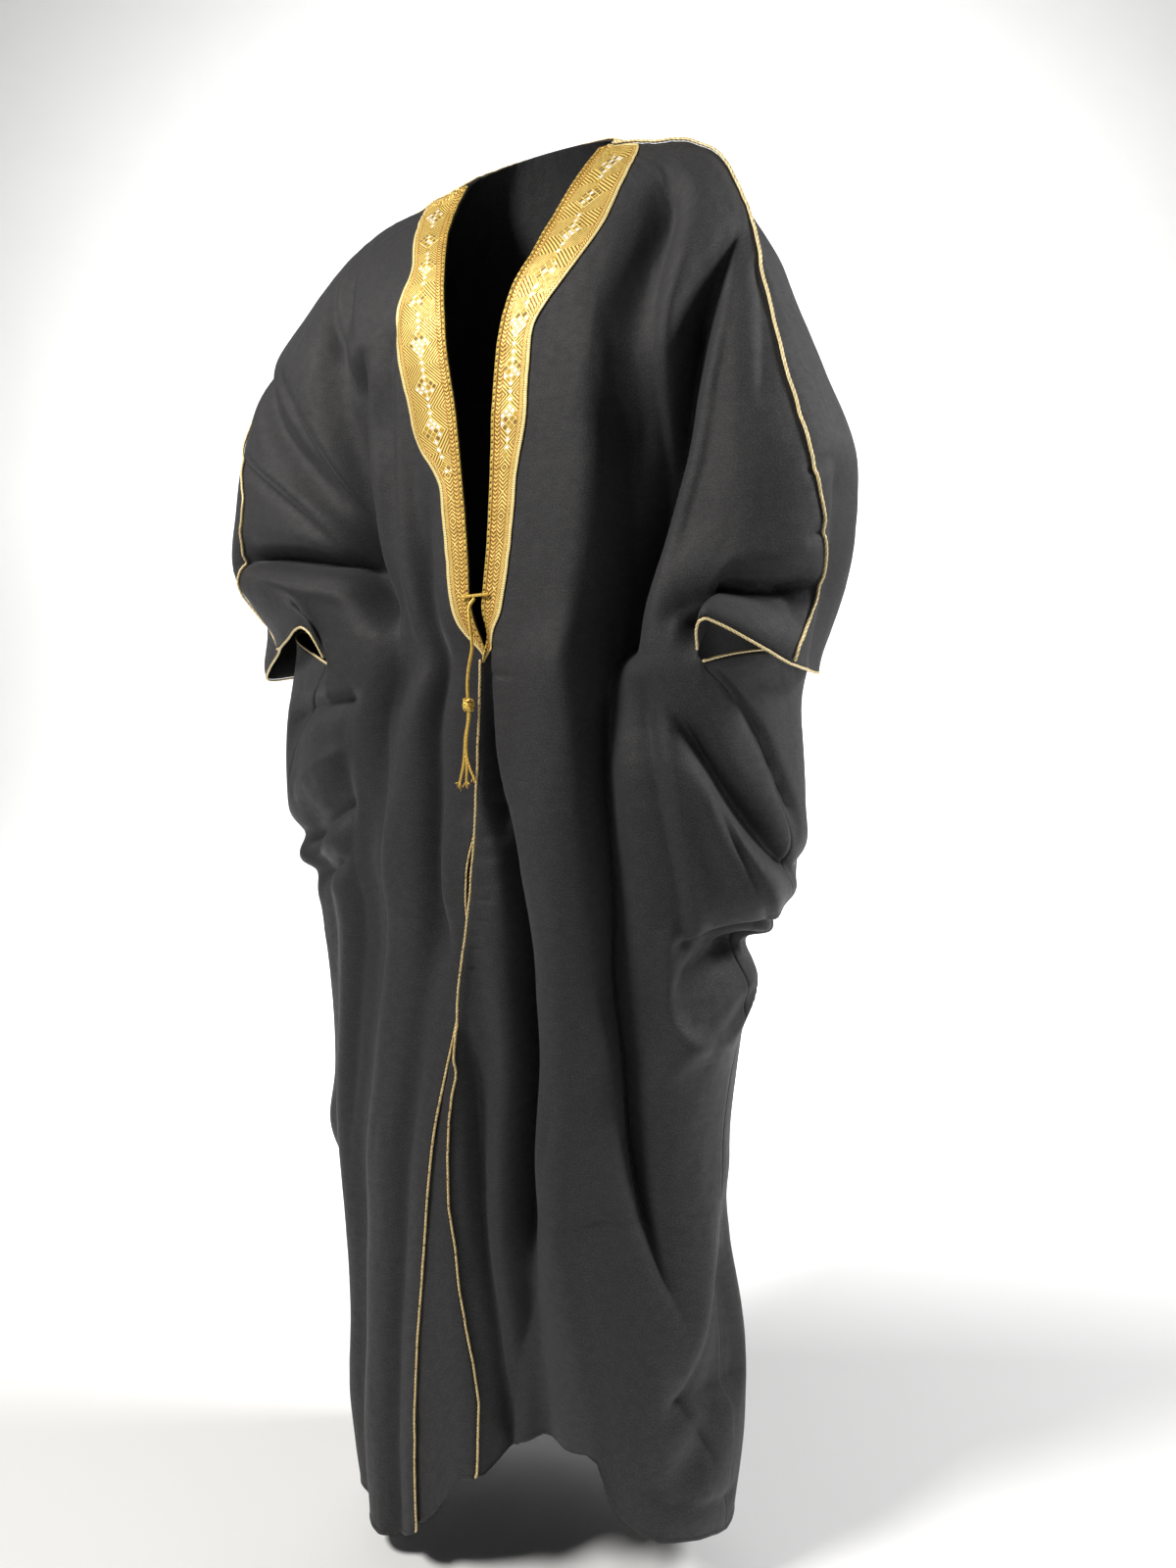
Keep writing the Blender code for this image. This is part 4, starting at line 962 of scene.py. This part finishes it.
# ------------------------------------------------------------------ the embroidered band
# Metal thread worked over card and felt, on each front from the shoulder to a point at
# the waist: a knotted braid at the opening, a figured field, and a pale braid outside.
# level | width on the left, width on the right
BAND = ((0.0, 0.060, 0.060), (2.8, 0.070, 0.044), (3.9, 0.060, 0.066), (4.8, 0.038, 0.066),
        (6.3, 0.040, 0.060), (6.9, 0.031, 0.028), (8.2, 0.027, 0.027), (9.1, 0.023, 0.023),
        (9.9, 0.002, 0.002))
BAND_STEP = 0.0010       # between two rows of points
BAND_THICK = 0.0009
BAND_LIFT = WALL / 2 + CLEAR / 2 + BAND_THICK      # up to its face, before the stitches
INNER_BRAID, OUTER_BRAID = 0.0046, 0.0040
KNOT_STEP = 0.0064       # between two knots of the inner braid
RIB = 0.0105             # the herringbone rib beside it ends here
RIB_MIDDLE = 0.0078
SATIN = 0.0088           # the slanted stitches begin this far from the outer edge
SATIN_MIDDLE = 0.0068
SLANT = 0.0024
HERRING = 0.0040
MEDALLION = 0.0460       # from one lozenge of the field to the next
CHEVRON = 0.0038         # between the lines laid round it
LATTICE = 0.0075         # between two cells down its middle
FIELD_FROM = 0.034       # a narrower band has no cells


def pulse(x, period):
    """A wave of rounded tops, from 0 to 1."""
    return 0.5 + 0.5 * np.cos(2 * math.pi * x / period)


def fold_back(x, period):
    """Distance to the nearest whole period."""
    return np.abs(np.mod(x + period / 2, period) - period / 2)


def band_rows(side):
    """Even rows of the left or right front, from the shoulder to the band's foot."""
    upper = np.array(fronts[side][0])
    normals = grid_normals(upper, side)
    for _ in range(3):
        normals[1:-1] = (normals[:-2] + 2 * normals[1:-1] + normals[2:]) / 4
        normals[:, 1:-1] = (normals[:, :-2] + 2 * normals[:, 1:-1] + normals[:, 2:]) / 4
    edge, bottom = run_along(upper[:, 0]), BAND[-1][0]
    foot = np.interp(bottom / CUFF_LEVEL * UPPER_ROWS, np.arange(UPPER_ROWS + 1), edge)
    rows = []
    for along in np.linspace(0, foot, round(foot / BAND_STEP) + 1):
        at = min(float(np.interp(along, edge, np.arange(UPPER_ROWS + 1))), UPPER_ROWS - 1e-6)
        i, f = int(at), at - int(at)
        row = upper[i] * (1 - f) + upper[i + 1] * f
        normal = normals[i] * (1 - f) + normals[i + 1] * f
        level = at / UPPER_ROWS * CUFF_LEVEL
        near = level + np.linspace(-0.22, 0.22, 5) * min(1.0, (bottom - level) / 0.5)
        width = read(BAND, near, 1 if side == "left" else 2).mean()
        width = min(width, run_along(row)[-1] - 0.0034)
        width += 0.0006 * float(wander(along / 0.013, 0.5, 71)) * min(1, width / 0.02)
        rows.append((along, row, normal, max(width, 0.0012)))
    return rows


def strip(name, rows, cut, height, cols, mat, flip):
    """Part of a band between two cuts across it, with its stitches raised."""
    bm = bmesh.new()
    place = bm.verts.layers.float_vector.new("place")
    points, where = [], []
    for along, row, normal, width in rows:
        low, high = cut(width)
        inner = np.linspace(low, high, cols + 1)
        lift = BAND_LIFT + height(inner, width - inner, along, width)
        points.append(along_row(row, normal, inner, lift))
        where.append(np.stack((inner, width - inner, np.full(cols + 1, along)), -1))
    where = np.array(where)
    grid_into(bm, points, place, flip=flip)
    for v, w in zip(bm.verts, where.reshape(-1, 3)):
        v[place] = w.tolist()
    return thickened(piece(name, bm, mat), BAND_THICK, -1.0)


def inner_share(width):
    """Width of the inner braid, less where the band is narrow."""
    return min(INNER_BRAID, width * 0.30)


def outer_share(width):
    """The same for the outer braid."""
    return min(OUTER_BRAID, width * 0.34)


def knotted(inner, outer, along, width):
    """A round braid with a notch at every knot."""
    x = inner / inner_share(width)
    crown = np.sqrt(np.clip(1 - (2 * x - 1) ** 2, 0, 1))
    knot = pulse(along + 0.0012 * (x - 0.5), KNOT_STEP) ** 0.5
    return crown * (0.0007 + 0.0006 * knot) + 0.0001 * pulse(along * 2 + x * 0.002, 0.0032)


def figured(inner, outer, along, width):
    """The field: a rib of herringbone, stars in a lattice, and slanted stitches."""
    middle = (inner - RIB - outer + SATIN) / 2
    diamond = np.abs(middle) + np.abs(fold_back(along, MEDALLION))
    rib = np.clip(1 - np.abs((inner - RIB_MIDDLE) / 0.0028) ** 3, 0, 1)
    satin = np.clip(1 - np.abs((outer - SATIN_MIDDLE) / 0.0019) ** 3, 0, 1)
    field = 0.00042 * pulse(diamond, CHEVRON) ** 0.7 + 0.00020 * pulse(diamond, MEDALLION)
    herring = 0.00030 + 0.00032 * pulse(along + np.abs(inner - RIB_MIDDLE), HERRING) ** 0.7
    slanted = 0.00034 + 0.00020 * pulse(along + 1.1 * outer, SLANT)
    in_field = (1 - rib) * (1 - satin)
    return herring * rib + slanted * satin * (1 - rib) + field * in_field


def fringed(inner, outer, along, width):
    """A pale braid of fine cross stitches, thin at its outer edge."""
    x = outer / outer_share(width)
    crown = np.sqrt(np.clip(1 - (1.6 * x - 0.9) ** 2, 0, 1))
    return 0.0005 * crown + 0.00016 * pulse(along + 0.0003 * np.sin(x * 9), 0.0024) * crown


# gilt threads, and the cells of the lattice
GOLD, PALE, DEEP = (0.50, 0.30, 0.04, 1), (0.86, 0.66, 0.20, 1), (0.13, 0.055, 0.008, 1)
RUST, SILVER, TAN = (0.42, 0.17, 0.04, 1), (0.92, 0.89, 0.80, 1), (0.24, 0.14, 0.035, 1)


class Zari(Recipe):
    """Embroidery in gilt thread: the colours of its stitches, from their place.

    Lengths are in millimetres here: from the band's two edges, and along it.
    """

    def __init__(self, name):
        super().__init__(name, Metallic=0.28, Specular_IOR_Level=0.30)
        self.place = self.attribute("place")
        xyz = self.add("SeparateXYZ", {"Vector": self.scaled(self.place, (1000.0, 1000.0, 1000.0))})
        self.inner, self.outer, self.along = xyz.node.outputs
        self.uneven = self.noise(self.place, 260.0, 2.0)
        self.wobble = self.maths("MULTIPLY_ADD", self.noise(self.place, 180.0, 1.0), 1.0, -0.5)

    def stripes(self, x, period, thick):
        """1 on a thread and 0 between threads, along lines of equal x."""
        to_line = self.maths("PINGPONG", x, period / 2)
        return self.span(to_line, thick / 2, thick / 2 + 0.30, 1.0, 0.0)

    def worked(self, colour, height):
        """The finished material, with fine strands over its raised stitches."""
        strands = self.noise(self.scaled(self.place, (1.0, 1.0, 0.35)), 1500.0, 2.0)
        rough = self.span(self.uneven, 0.3, 0.75, 0.42, 0.62)
        raised = self.bump(height, 0.00022, 0.9, self.bump(strands, 0.0001, 0.5))
        return self.connect(Base_Color=colour, Roughness=rough, Normal=raised)


def cells(r, middle):
    """A lattice of cells, some silver and some dark, with one row down the middle."""
    m, stripes, step = r.maths, r.stripes, LATTICE * 1000
    p, q = m("ADD", middle, r.along), m("SUBTRACT", middle, r.along)
    i, j = m("FLOOR", m("DIVIDE", p, step)), m("FLOOR", m("DIVIDE", q, step))
    cell = r.add("CombineXYZ", {0: i, 1: j})
    chance = r.add("TexWhiteNoise", {"Vector": cell}, output="Value", noise_dimensions="2D")
    central = m("COMPARE", m("ADD", i, j), -1.0, 0.1)
    chance = m("MULTIPLY_ADD", central, 0.45, chance)
    inside = r.mix(r.span(chance, 0.72, 0.73), GOLD, SILVER)
    inside = r.mix(r.span(chance, 0.34, 0.35), TAN, inside)
    net = m("MAXIMUM", stripes(p, step, 1.1), stripes(q, step, 1.1))
    rim = m("MAXIMUM", stripes(p, step, 2.3), stripes(q, step, 2.3))
    return r.mix(net, r.mix(rim, inside, DEEP), PALE), net, central


def field_thread():
    """Thread laid in lozenges round the cells, a herringbone rib, and slanted stitches."""
    r = Zari("zari_field")
    m, stripes, inner, outer, along = r.maths, r.stripes, r.inner, r.outer, r.along
    rib = m("ABSOLUTE", m("SUBTRACT", inner, RIB_MIDDLE * 1000))
    middle = m("MULTIPLY", m("SUBTRACT", m("SUBTRACT", inner, RIB * 1000),
                             m("SUBTRACT", outer, SATIN * 1000)), 0.5)
    far = m("ABSOLUTE", middle)
    star = m("PINGPONG", m("ADD", along, MEDALLION * 500), MEDALLION * 500)
    star = m("SUBTRACT", MEDALLION * 500, star)
    diamond = m("ADD", m("ADD", far, star), m("MULTIPLY", r.wobble, 0.5))
    colour = r.mix(r.span(r.uneven, 0.3, 0.7), GOLD, (0.42, 0.23, 0.03, 1))
    gaps = stripes(m("ADD", diamond, CHEVRON * 500), CHEVRON * 1000, 0.9)
    colour = r.mix(m("MULTIPLY", gaps, 0.85), colour, DEEP)
    lines = stripes(diamond, CHEVRON * 1000, 1.3)
    colour = r.mix(m("MULTIPLY", lines, 0.95), colour, PALE)
    # the cells: one after another down the middle, and a lattice in each lozenge
    lattice, net, central = cells(r, middle)
    lozenge = r.span(m("ADD", far, star), 14.6, 15.2, 1.0, 0.0)
    column = m("MULTIPLY", central, r.span(far, 3.6, 3.9, 1.0, 0.0))
    wide = r.span(m("ADD", inner, outer), FIELD_FROM * 1000 - 1, FIELD_FROM * 1000)
    in_lattice = m("MULTIPLY", m("MAXIMUM", lozenge, column), wide)
    colour = r.mix(in_lattice, colour, lattice)
    # the herringbone rib
    herring = stripes(m("ADD", along, rib), HERRING * 1000, 1.7)
    side_rib = r.mix(herring, (0.20, 0.09, 0.012, 1), (0.80, 0.56, 0.13, 1))
    colour = r.mix(r.span(rib, 2.5, 2.8, 1.0, 0.0), colour, side_rib)
    # the slanted stitches outside, and a rust thread between the parts
    slanted = stripes(m("MULTIPLY_ADD", outer, 1.1, along), SLANT * 1000, 1.0)
    satin = r.mix(slanted, (0.28, 0.14, 0.02, 1), (0.86, 0.64, 0.18, 1))
    outside = r.span(outer, SATIN * 1000 - 0.4, SATIN * 1000 - 0.1, 1.0, 0.0)
    colour = r.mix(outside, colour, satin)
    for edge in (m("SUBTRACT", inner, 4.8), m("SUBTRACT", inner, RIB * 1000 + 0.3),
                 m("SUBTRACT", outer, SATIN * 1000)):
        colour = r.mix(r.span(m("ABSOLUTE", edge), 0.45, 0.75, 0.9, 0.0), colour, RUST)
    return r.worked(colour, m("MAXIMUM", lines, m("MAXIMUM", net, herring)))


def inner_thread():
    """Twisted thread with a dark notch between its knots, and a rust edge."""
    r = Zari("zari_inner")
    m = r.maths
    knot = m("PINGPONG", r.along, KNOT_STEP * 500)
    across = m("ABSOLUTE", m("SUBTRACT", r.inner, 2.2))
    twist = r.stripes(m("MULTIPLY_ADD", r.inner, 0.8, r.along), 1.6, 0.6)
    colour = r.mix(twist, (0.46, 0.27, 0.035, 1), (0.84, 0.60, 0.14, 1))
    colour = r.mix(r.span(r.uneven, 0.45, 0.75, 0.0, 0.5), colour, DEEP)
    notch = r.span(m("MULTIPLY_ADD", across, 0.9, m("SUBTRACT", KNOT_STEP * 500, knot)),
                   1.1, 1.7, 1.0, 0.0)
    colour = r.mix(notch, colour, (0.05, 0.02, 0.005, 1))
    colour = r.mix(r.span(across, 2.0, 2.3), colour, RUST)
    return r.worked(colour, twist)


def outer_thread():
    """Pale cross stitches, a little uneven, and dark at the very edge."""
    r = Zari("zari_outer")
    stitch = r.stripes(r.maths("ADD", r.along, r.maths("MULTIPLY", r.wobble, 0.8)), 1.6, 0.7)
    colour = r.mix(stitch, (0.52, 0.35, 0.09, 1), (0.95, 0.80, 0.40, 1))
    colour = r.mix(r.span(r.uneven, 0.5, 0.8, 0.0, 0.45), colour, GOLD)
    colour = r.mix(r.span(r.outer, 3.5, 3.9), colour, DEEP)
    return r.worked(colour, stitch)


zari_field, zari_inner, zari_outer = field_thread(), inner_thread(), outer_thread()
for side in ("left", "right"):
    rows = band_rows(side)
    flip = side == "left"
    field = strip("band_field_" + side, rows, lambda w: (inner_share(w), w - outer_share(w)),
                  figured, 46, zari_field, flip)
    inner_braid = strip("band_inner_braid_" + side, rows, lambda w: (0.0, inner_share(w)),
                        knotted, 8, zari_inner, flip)
    outer_braid = strip("band_outer_braid_" + side, rows, lambda w: (w - outer_share(w), w),
                        fringed, 8, zari_outer, flip)
    for part in (field, inner_braid, outer_braid):
        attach(part, "root")
        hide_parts("band_" + side)

# ------------------------------------------------------------------ the neck braid
# A narrow braid of the same thread carries the band round the back of the neck, from
# one arm seam to the other.
NECK_BRAID, NECK_COLS = 0.011, 12
NECK_STEP = 0.0008       # between two of its points along the neck
neck = []
for side in ("left", "right"):
    upper = np.array(backs[side][0])
    normals = grid_normals(upper, side)
    down = np.linspace(0.0005, NECK_BRAID, NECK_COLS + 1)
    cols = [along_row(upper[:, k], normals[:, k], down, BAND_LIFT) for k in range(BACK_COLS + 1)]
    neck += cols[1:] if side == "left" else cols[1:-1][::-1]
neck = np.array(neck)
run = run_along(neck[:, 0])
at = np.linspace(0, run[-1], round(run[-1] / NECK_STEP) + 1)
neck = np.stack([points_at(neck[:, j], run, at) for j in range(NECK_COLS + 1)])
out = np.cross(np.gradient(neck, axis=1), np.gradient(neck, axis=0))
out = out / np.linalg.norm(out, axis=2)[:, :, None]
x = np.linspace(0, 1, NECK_COLS + 1)[:, None]
stitches = pulse(at[None, :] + 0.004 * np.abs(x - 0.5), 0.0032)
ribs = np.abs(np.sin(x * math.pi * 3)) ** 0.6 * (0.0004 + 0.0003 * stitches)
if (out[NECK_COLS // 2, len(at) // 2] @ np.array((0.0, 1.0, 0.6))) < 0:
    out = -out
bm = bmesh.new()
place = bm.verts.layers.float_vector.new("place")
grid_into(bm, neck + out * ribs[:, :, None], place)
for v in bm.verts:
    v[place] = (v[place][1], 0.0015, v[place][0])
bmesh.ops.recalc_face_normals(bm, faces=bm.faces)
neck_braid = thickened(piece("neck_braid_worked", bm, zari_outer), BAND_THICK, -1.0)
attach(neck_braid, "root")
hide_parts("neck_braid")

# ------------------------------------------------------------------ the tie
# A bar of wound gilt thread joins the two bands at the waist. From it hangs a twisted
# cord, knotted once. It runs on below the knot, thinner, with two more ends, and all
# three part and fray.
BAR, TIE, STRAND = 0.0032, 0.0036, 0.0029
KNOT_FROM = 0.098        # the knot begins here
BAR_BOW, BAR_LEAN = 0.0008, 0.0006             # it bows forward, and its left end is higher
TIE_GAP = 0.0003         # between the bar and the cord that hangs from it
HANG = ((0.0078, -0.1450, -0.4400), (0.0084, -0.1468, -0.4500), (0.0098, -0.1479, -0.4610),
        (0.0113, -0.1486, -0.4720), (0.0116, -0.1490, -0.4810), (0.0096, -0.1496, -0.4900),
        (0.0076, -0.1503, -0.4990), (0.0064, -0.1511, -0.5090), (0.0061, -0.1518, -0.5180),
        (0.0063, -0.1522, -0.5258))
KNOT_AT = (0.0067, -0.1525, -0.5350)
KNOT = (0.0062, 0.0062, 0.0088)                # half its size each way
# turns of cord round the knot: tilt | lean | size
KNOT_TURNS = ((0.5, 0.2, 0.92), (-0.6, 0.5, 0.90), (1.15, -0.5, 0.84), (-1.2, 0.1, 0.80),
              (0.05, -0.25, 0.96))
HAIR, HAIRS = 0.00055, 16                      # the frayed threads at each tip
ENDS = (
    ((0.0060, -0.1525, -0.5400), (0.0048, -0.1524, -0.5520), (0.0010, -0.1522, -0.5660),
     (-0.0008, -0.1520, -0.5800), (-0.0034, -0.1520, -0.5950), (-0.0088, -0.1520, -0.6130)),
    ((0.0075, -0.1525, -0.5400), (0.0068, -0.1524, -0.5480), (0.0034, -0.1522, -0.5620),
     (0.0014, -0.1520, -0.5790), (0.0036, -0.1520, -0.5940), (0.0093, -0.1520, -0.6070)),
    ((0.0006, -0.1520, -0.5840), (0.0008, -0.1520, -0.5980), (-0.0004, -0.1520, -0.6120)),
)


def softened(points):
    """A smooth line through given points."""
    p = np.array(points, float)
    p = np.vstack((2 * p[0] - p[1], p, 2 * p[-1] - p[-2]))
    out = []
    for p0, p1, p2, p3 in zip(p, p[1:], p[2:], p[3:]):
        out += [glide(p0, p1, p2, p3, f) for f in np.arange(6) / 6]
    return np.array(out + [p[-2]])


# the third colour is painted shade for the grooves between the plies, and colours the flecks
tie_gold = metal_thread("gilt_cord", (0.95, 0.70, 0.18, 1), (0.78, 0.48, 0.07, 1),
                        (0.22, 0.10, 0.015, 1), 0.25, 0.62)
low, high = (np.array(c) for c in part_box("tie_bar"))
middle = (low + high) / 2
reach = (high[0] - low[0]) / 2 - BAR / 2
bar_line = [middle + np.array((x * reach, -BAR_BOW * (1 - x * x), BAR_LEAN * x))
            for x in np.linspace(-1, 1, 9)]
bar = rope("tie_bar_wound", bar_line, BAR, 1, 0.0011, tie_gold, deep=0.16, around=14,
           step=0.00022)
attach(bar, "root")
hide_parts("tie_bar")

exit_at = (middle[0], middle[1], middle[2] - BAR / 2 - TIE_GAP)
hang = softened((exit_at,) + HANG + (KNOT_AT,) + ENDS[0][1:])
tie_cord = rope("tie_cord_twisted", hang, TIE, 3, 0.0085, tie_gold, deep=0.34, around=18,
                thin=(KNOT_FROM, STRAND / TIE))

# the knot: turns of the same cord round a lump of thread, then the ends
bm = bmesh.new()
place = bm.verts.layers.float_vector.new("place")
lay = bm.verts.layers.float.new("lay")
core = bmesh.ops.create_uvsphere(bm, u_segments=20, v_segments=12, radius=1.0)["verts"]
for v in core:
    v[place] = (v.co.x * 0.004, v.co.z * 0.008, 0.0)
    # painted shade: a low lay gives the lump part of the groove colour, as it lies in shade between
    # the turns
    v[lay] = 0.35
    v.co = [c * r * 0.72 + at for c, r, at in zip(v.co, KNOT, KNOT_AT)]
for tilt, lean, size in KNOT_TURNS:
    turns = np.linspace(0, 2 * math.pi * 0.97, 40)
    loop = np.stack((np.cos(turns) * KNOT[0], np.sin(turns) * KNOT[1],
                     np.cos(turns) * KNOT[0] * math.tan(tilt) * 0.55
                     + np.sin(turns) * KNOT[1] * lean), -1) * size * 0.80
    rope_into(bm, loop + np.array(KNOT_AT), 0.0030, 2, 0.0062, around=10, step=0.0007)
rng = np.random.default_rng(17)
for i, points in enumerate(ENDS):
    line = softened(points)
    if i > 0:
        rope_into(bm, line, STRAND, 2, 0.0074, around=12)
    tip, way = line[-1], unit(line[-1] - line[-4])
    for _ in range(HAIRS):
        spread = way + rng.normal(0, 0.42, 3)
        spread[1] = abs(spread[1]) * -0.4
        spread[2] = -abs(spread[2])
        length = rng.uniform(0.003, 0.0075)
        curl = rng.normal(0, 0.0006, 3)
        start = tip - way * 0.0022 + rng.normal(0, 0.0004, 3)
        hair = [start + unit(spread) * length * t + curl * t * t for t in np.linspace(0, 1, 6)]
        rope_into(bm, hair, HAIR, 2, 0.004, around=6, step=0.0008)
tassel = piece("tie_knot_and_ends", bm, tie_gold)
for part, node in ((tie_cord, "tie_cord"), (tassel, "tie_tassel")):
    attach(part, "root")
    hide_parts(node)

# ------------------------------------------------------------------ floor and light
# A pale paper sweep that runs up behind the cloak without a corner. A soft light stands
# above the wearer's right front, another at the left side, and a wide one lights the paper.
FLOOR = -1.50
SWEEP_RADIUS, SWEEP_DEPTH, SWEEP_WIDTH = 2.0, 4.5, 14.0
SWEEP_RISE = 4.0         # straight up, above its bend
SWEEP_TURN = 30          # degrees, to stand square behind the cloak

paper = Recipe("pale_paper", Roughness=0.9, Specular_IOR_Level=0.1)
grain = paper.noise(paper.add("TexCoord", output="Object"), 3.0, 2.0)
paper.connect(Base_Color=paper.mix(grain, (0.90, 0.90, 0.895, 1), (0.93, 0.93, 0.925, 1)))
bm = bmesh.new()
made = bmesh.ops.create_grid(bm, x_segments=8, y_segments=60, size=1.0)["verts"]
for v in made:
    straight, bent = 2 * SWEEP_DEPTH, SWEEP_RADIUS * math.pi / 2
    run = (v.co.y + 1) / 2 * (straight + bent + SWEEP_RISE)
    arc = min(max(run - straight, 0), bent)
    rise = max(run - straight - bent, 0)
    a = arc / SWEEP_RADIUS
    y = min(run, straight) - SWEEP_DEPTH + SWEEP_RADIUS * math.sin(a)
    z = SWEEP_RADIUS * (1 - math.cos(a)) + rise
    v.co = (v.co.x * SWEEP_WIDTH / 2, y, FLOOR + z)
turn = Matrix.Rotation(math.radians(SWEEP_TURN), 4, "Z")
bmesh.ops.transform(bm, matrix=turn, verts=bm.verts)
piece("sweep", bm, paper.material)

scene = bpy.context.scene
world = bpy.data.worlds.new("daylight")
scene.world = world
world.use_nodes = True
sky = world.node_tree.nodes["Background"].inputs
sky["Color"].default_value = (0.95, 0.97, 1.0, 1)
sky["Strength"].default_value = 0.04
scene.view_settings.view_transform = "Standard"


def soft_light(name, place, target, size, power, colour):
    """A round lamp that faces a target."""
    light = bpy.data.lights.new(name, "AREA")
    light.shape = "DISK"
    light.size = size
    light.energy = power
    light.color = colour
    obj = bpy.data.objects.new(name, light)
    scene.collection.objects.link(obj)
    obj.location = place
    obj.rotation_euler = (Vector(target) - Vector(place)).to_track_quat("-Z", "Y").to_euler()


soft_light("key", (-1.17, -1.87, 1.75), (0, 0, -0.7), 0.8, 130, (1.0, 0.98, 0.95))
soft_light("side", (2.59, 1.21, 0.95), (0, 0, -0.7), 0.9, 106, (1.0, 1.0, 1.0))
soft_light("behind", (-0.6, 1.6, 1.4), (-2.2, 5.0, -0.4), 2.4, 420, (1.0, 1.0, 1.0))

# ------------------------------------------------------------------ the camera
# It stands close to the wearer's left front, at waist height, and looks slightly down.
LENS, FILM = 27.045, 36.0
AROUND, DISTANCE, HEIGHT = math.radians(32.0), 1.282, -0.481
PITCH, YAW, ROLL_ANGLE = math.radians(6.74), math.radians(-1.91), math.radians(-2.0)
heading = AROUND + YAW
ahead = Vector((-math.sin(heading) * math.cos(PITCH), math.cos(heading) * math.cos(PITCH),
                -math.sin(PITCH)))
right = Vector((math.cos(heading), math.sin(heading), 0))
up = right.cross(ahead)
across = right * math.cos(ROLL_ANGLE) + up * math.sin(ROLL_ANGLE)
top = up * math.cos(ROLL_ANGLE) - right * math.sin(ROLL_ANGLE)
lens = bpy.data.cameras.new("camera")
lens.lens = LENS
lens.sensor_width = FILM
camera = bpy.data.objects.new("camera", lens)
scene.collection.objects.link(camera)
place = Matrix((across, top, -ahead)).transposed().to_4x4()
place.translation = Vector((DISTANCE * math.sin(AROUND), -DISTANCE * math.cos(AROUND), HEIGHT))
camera.matrix_world = place
scene.camera = camera
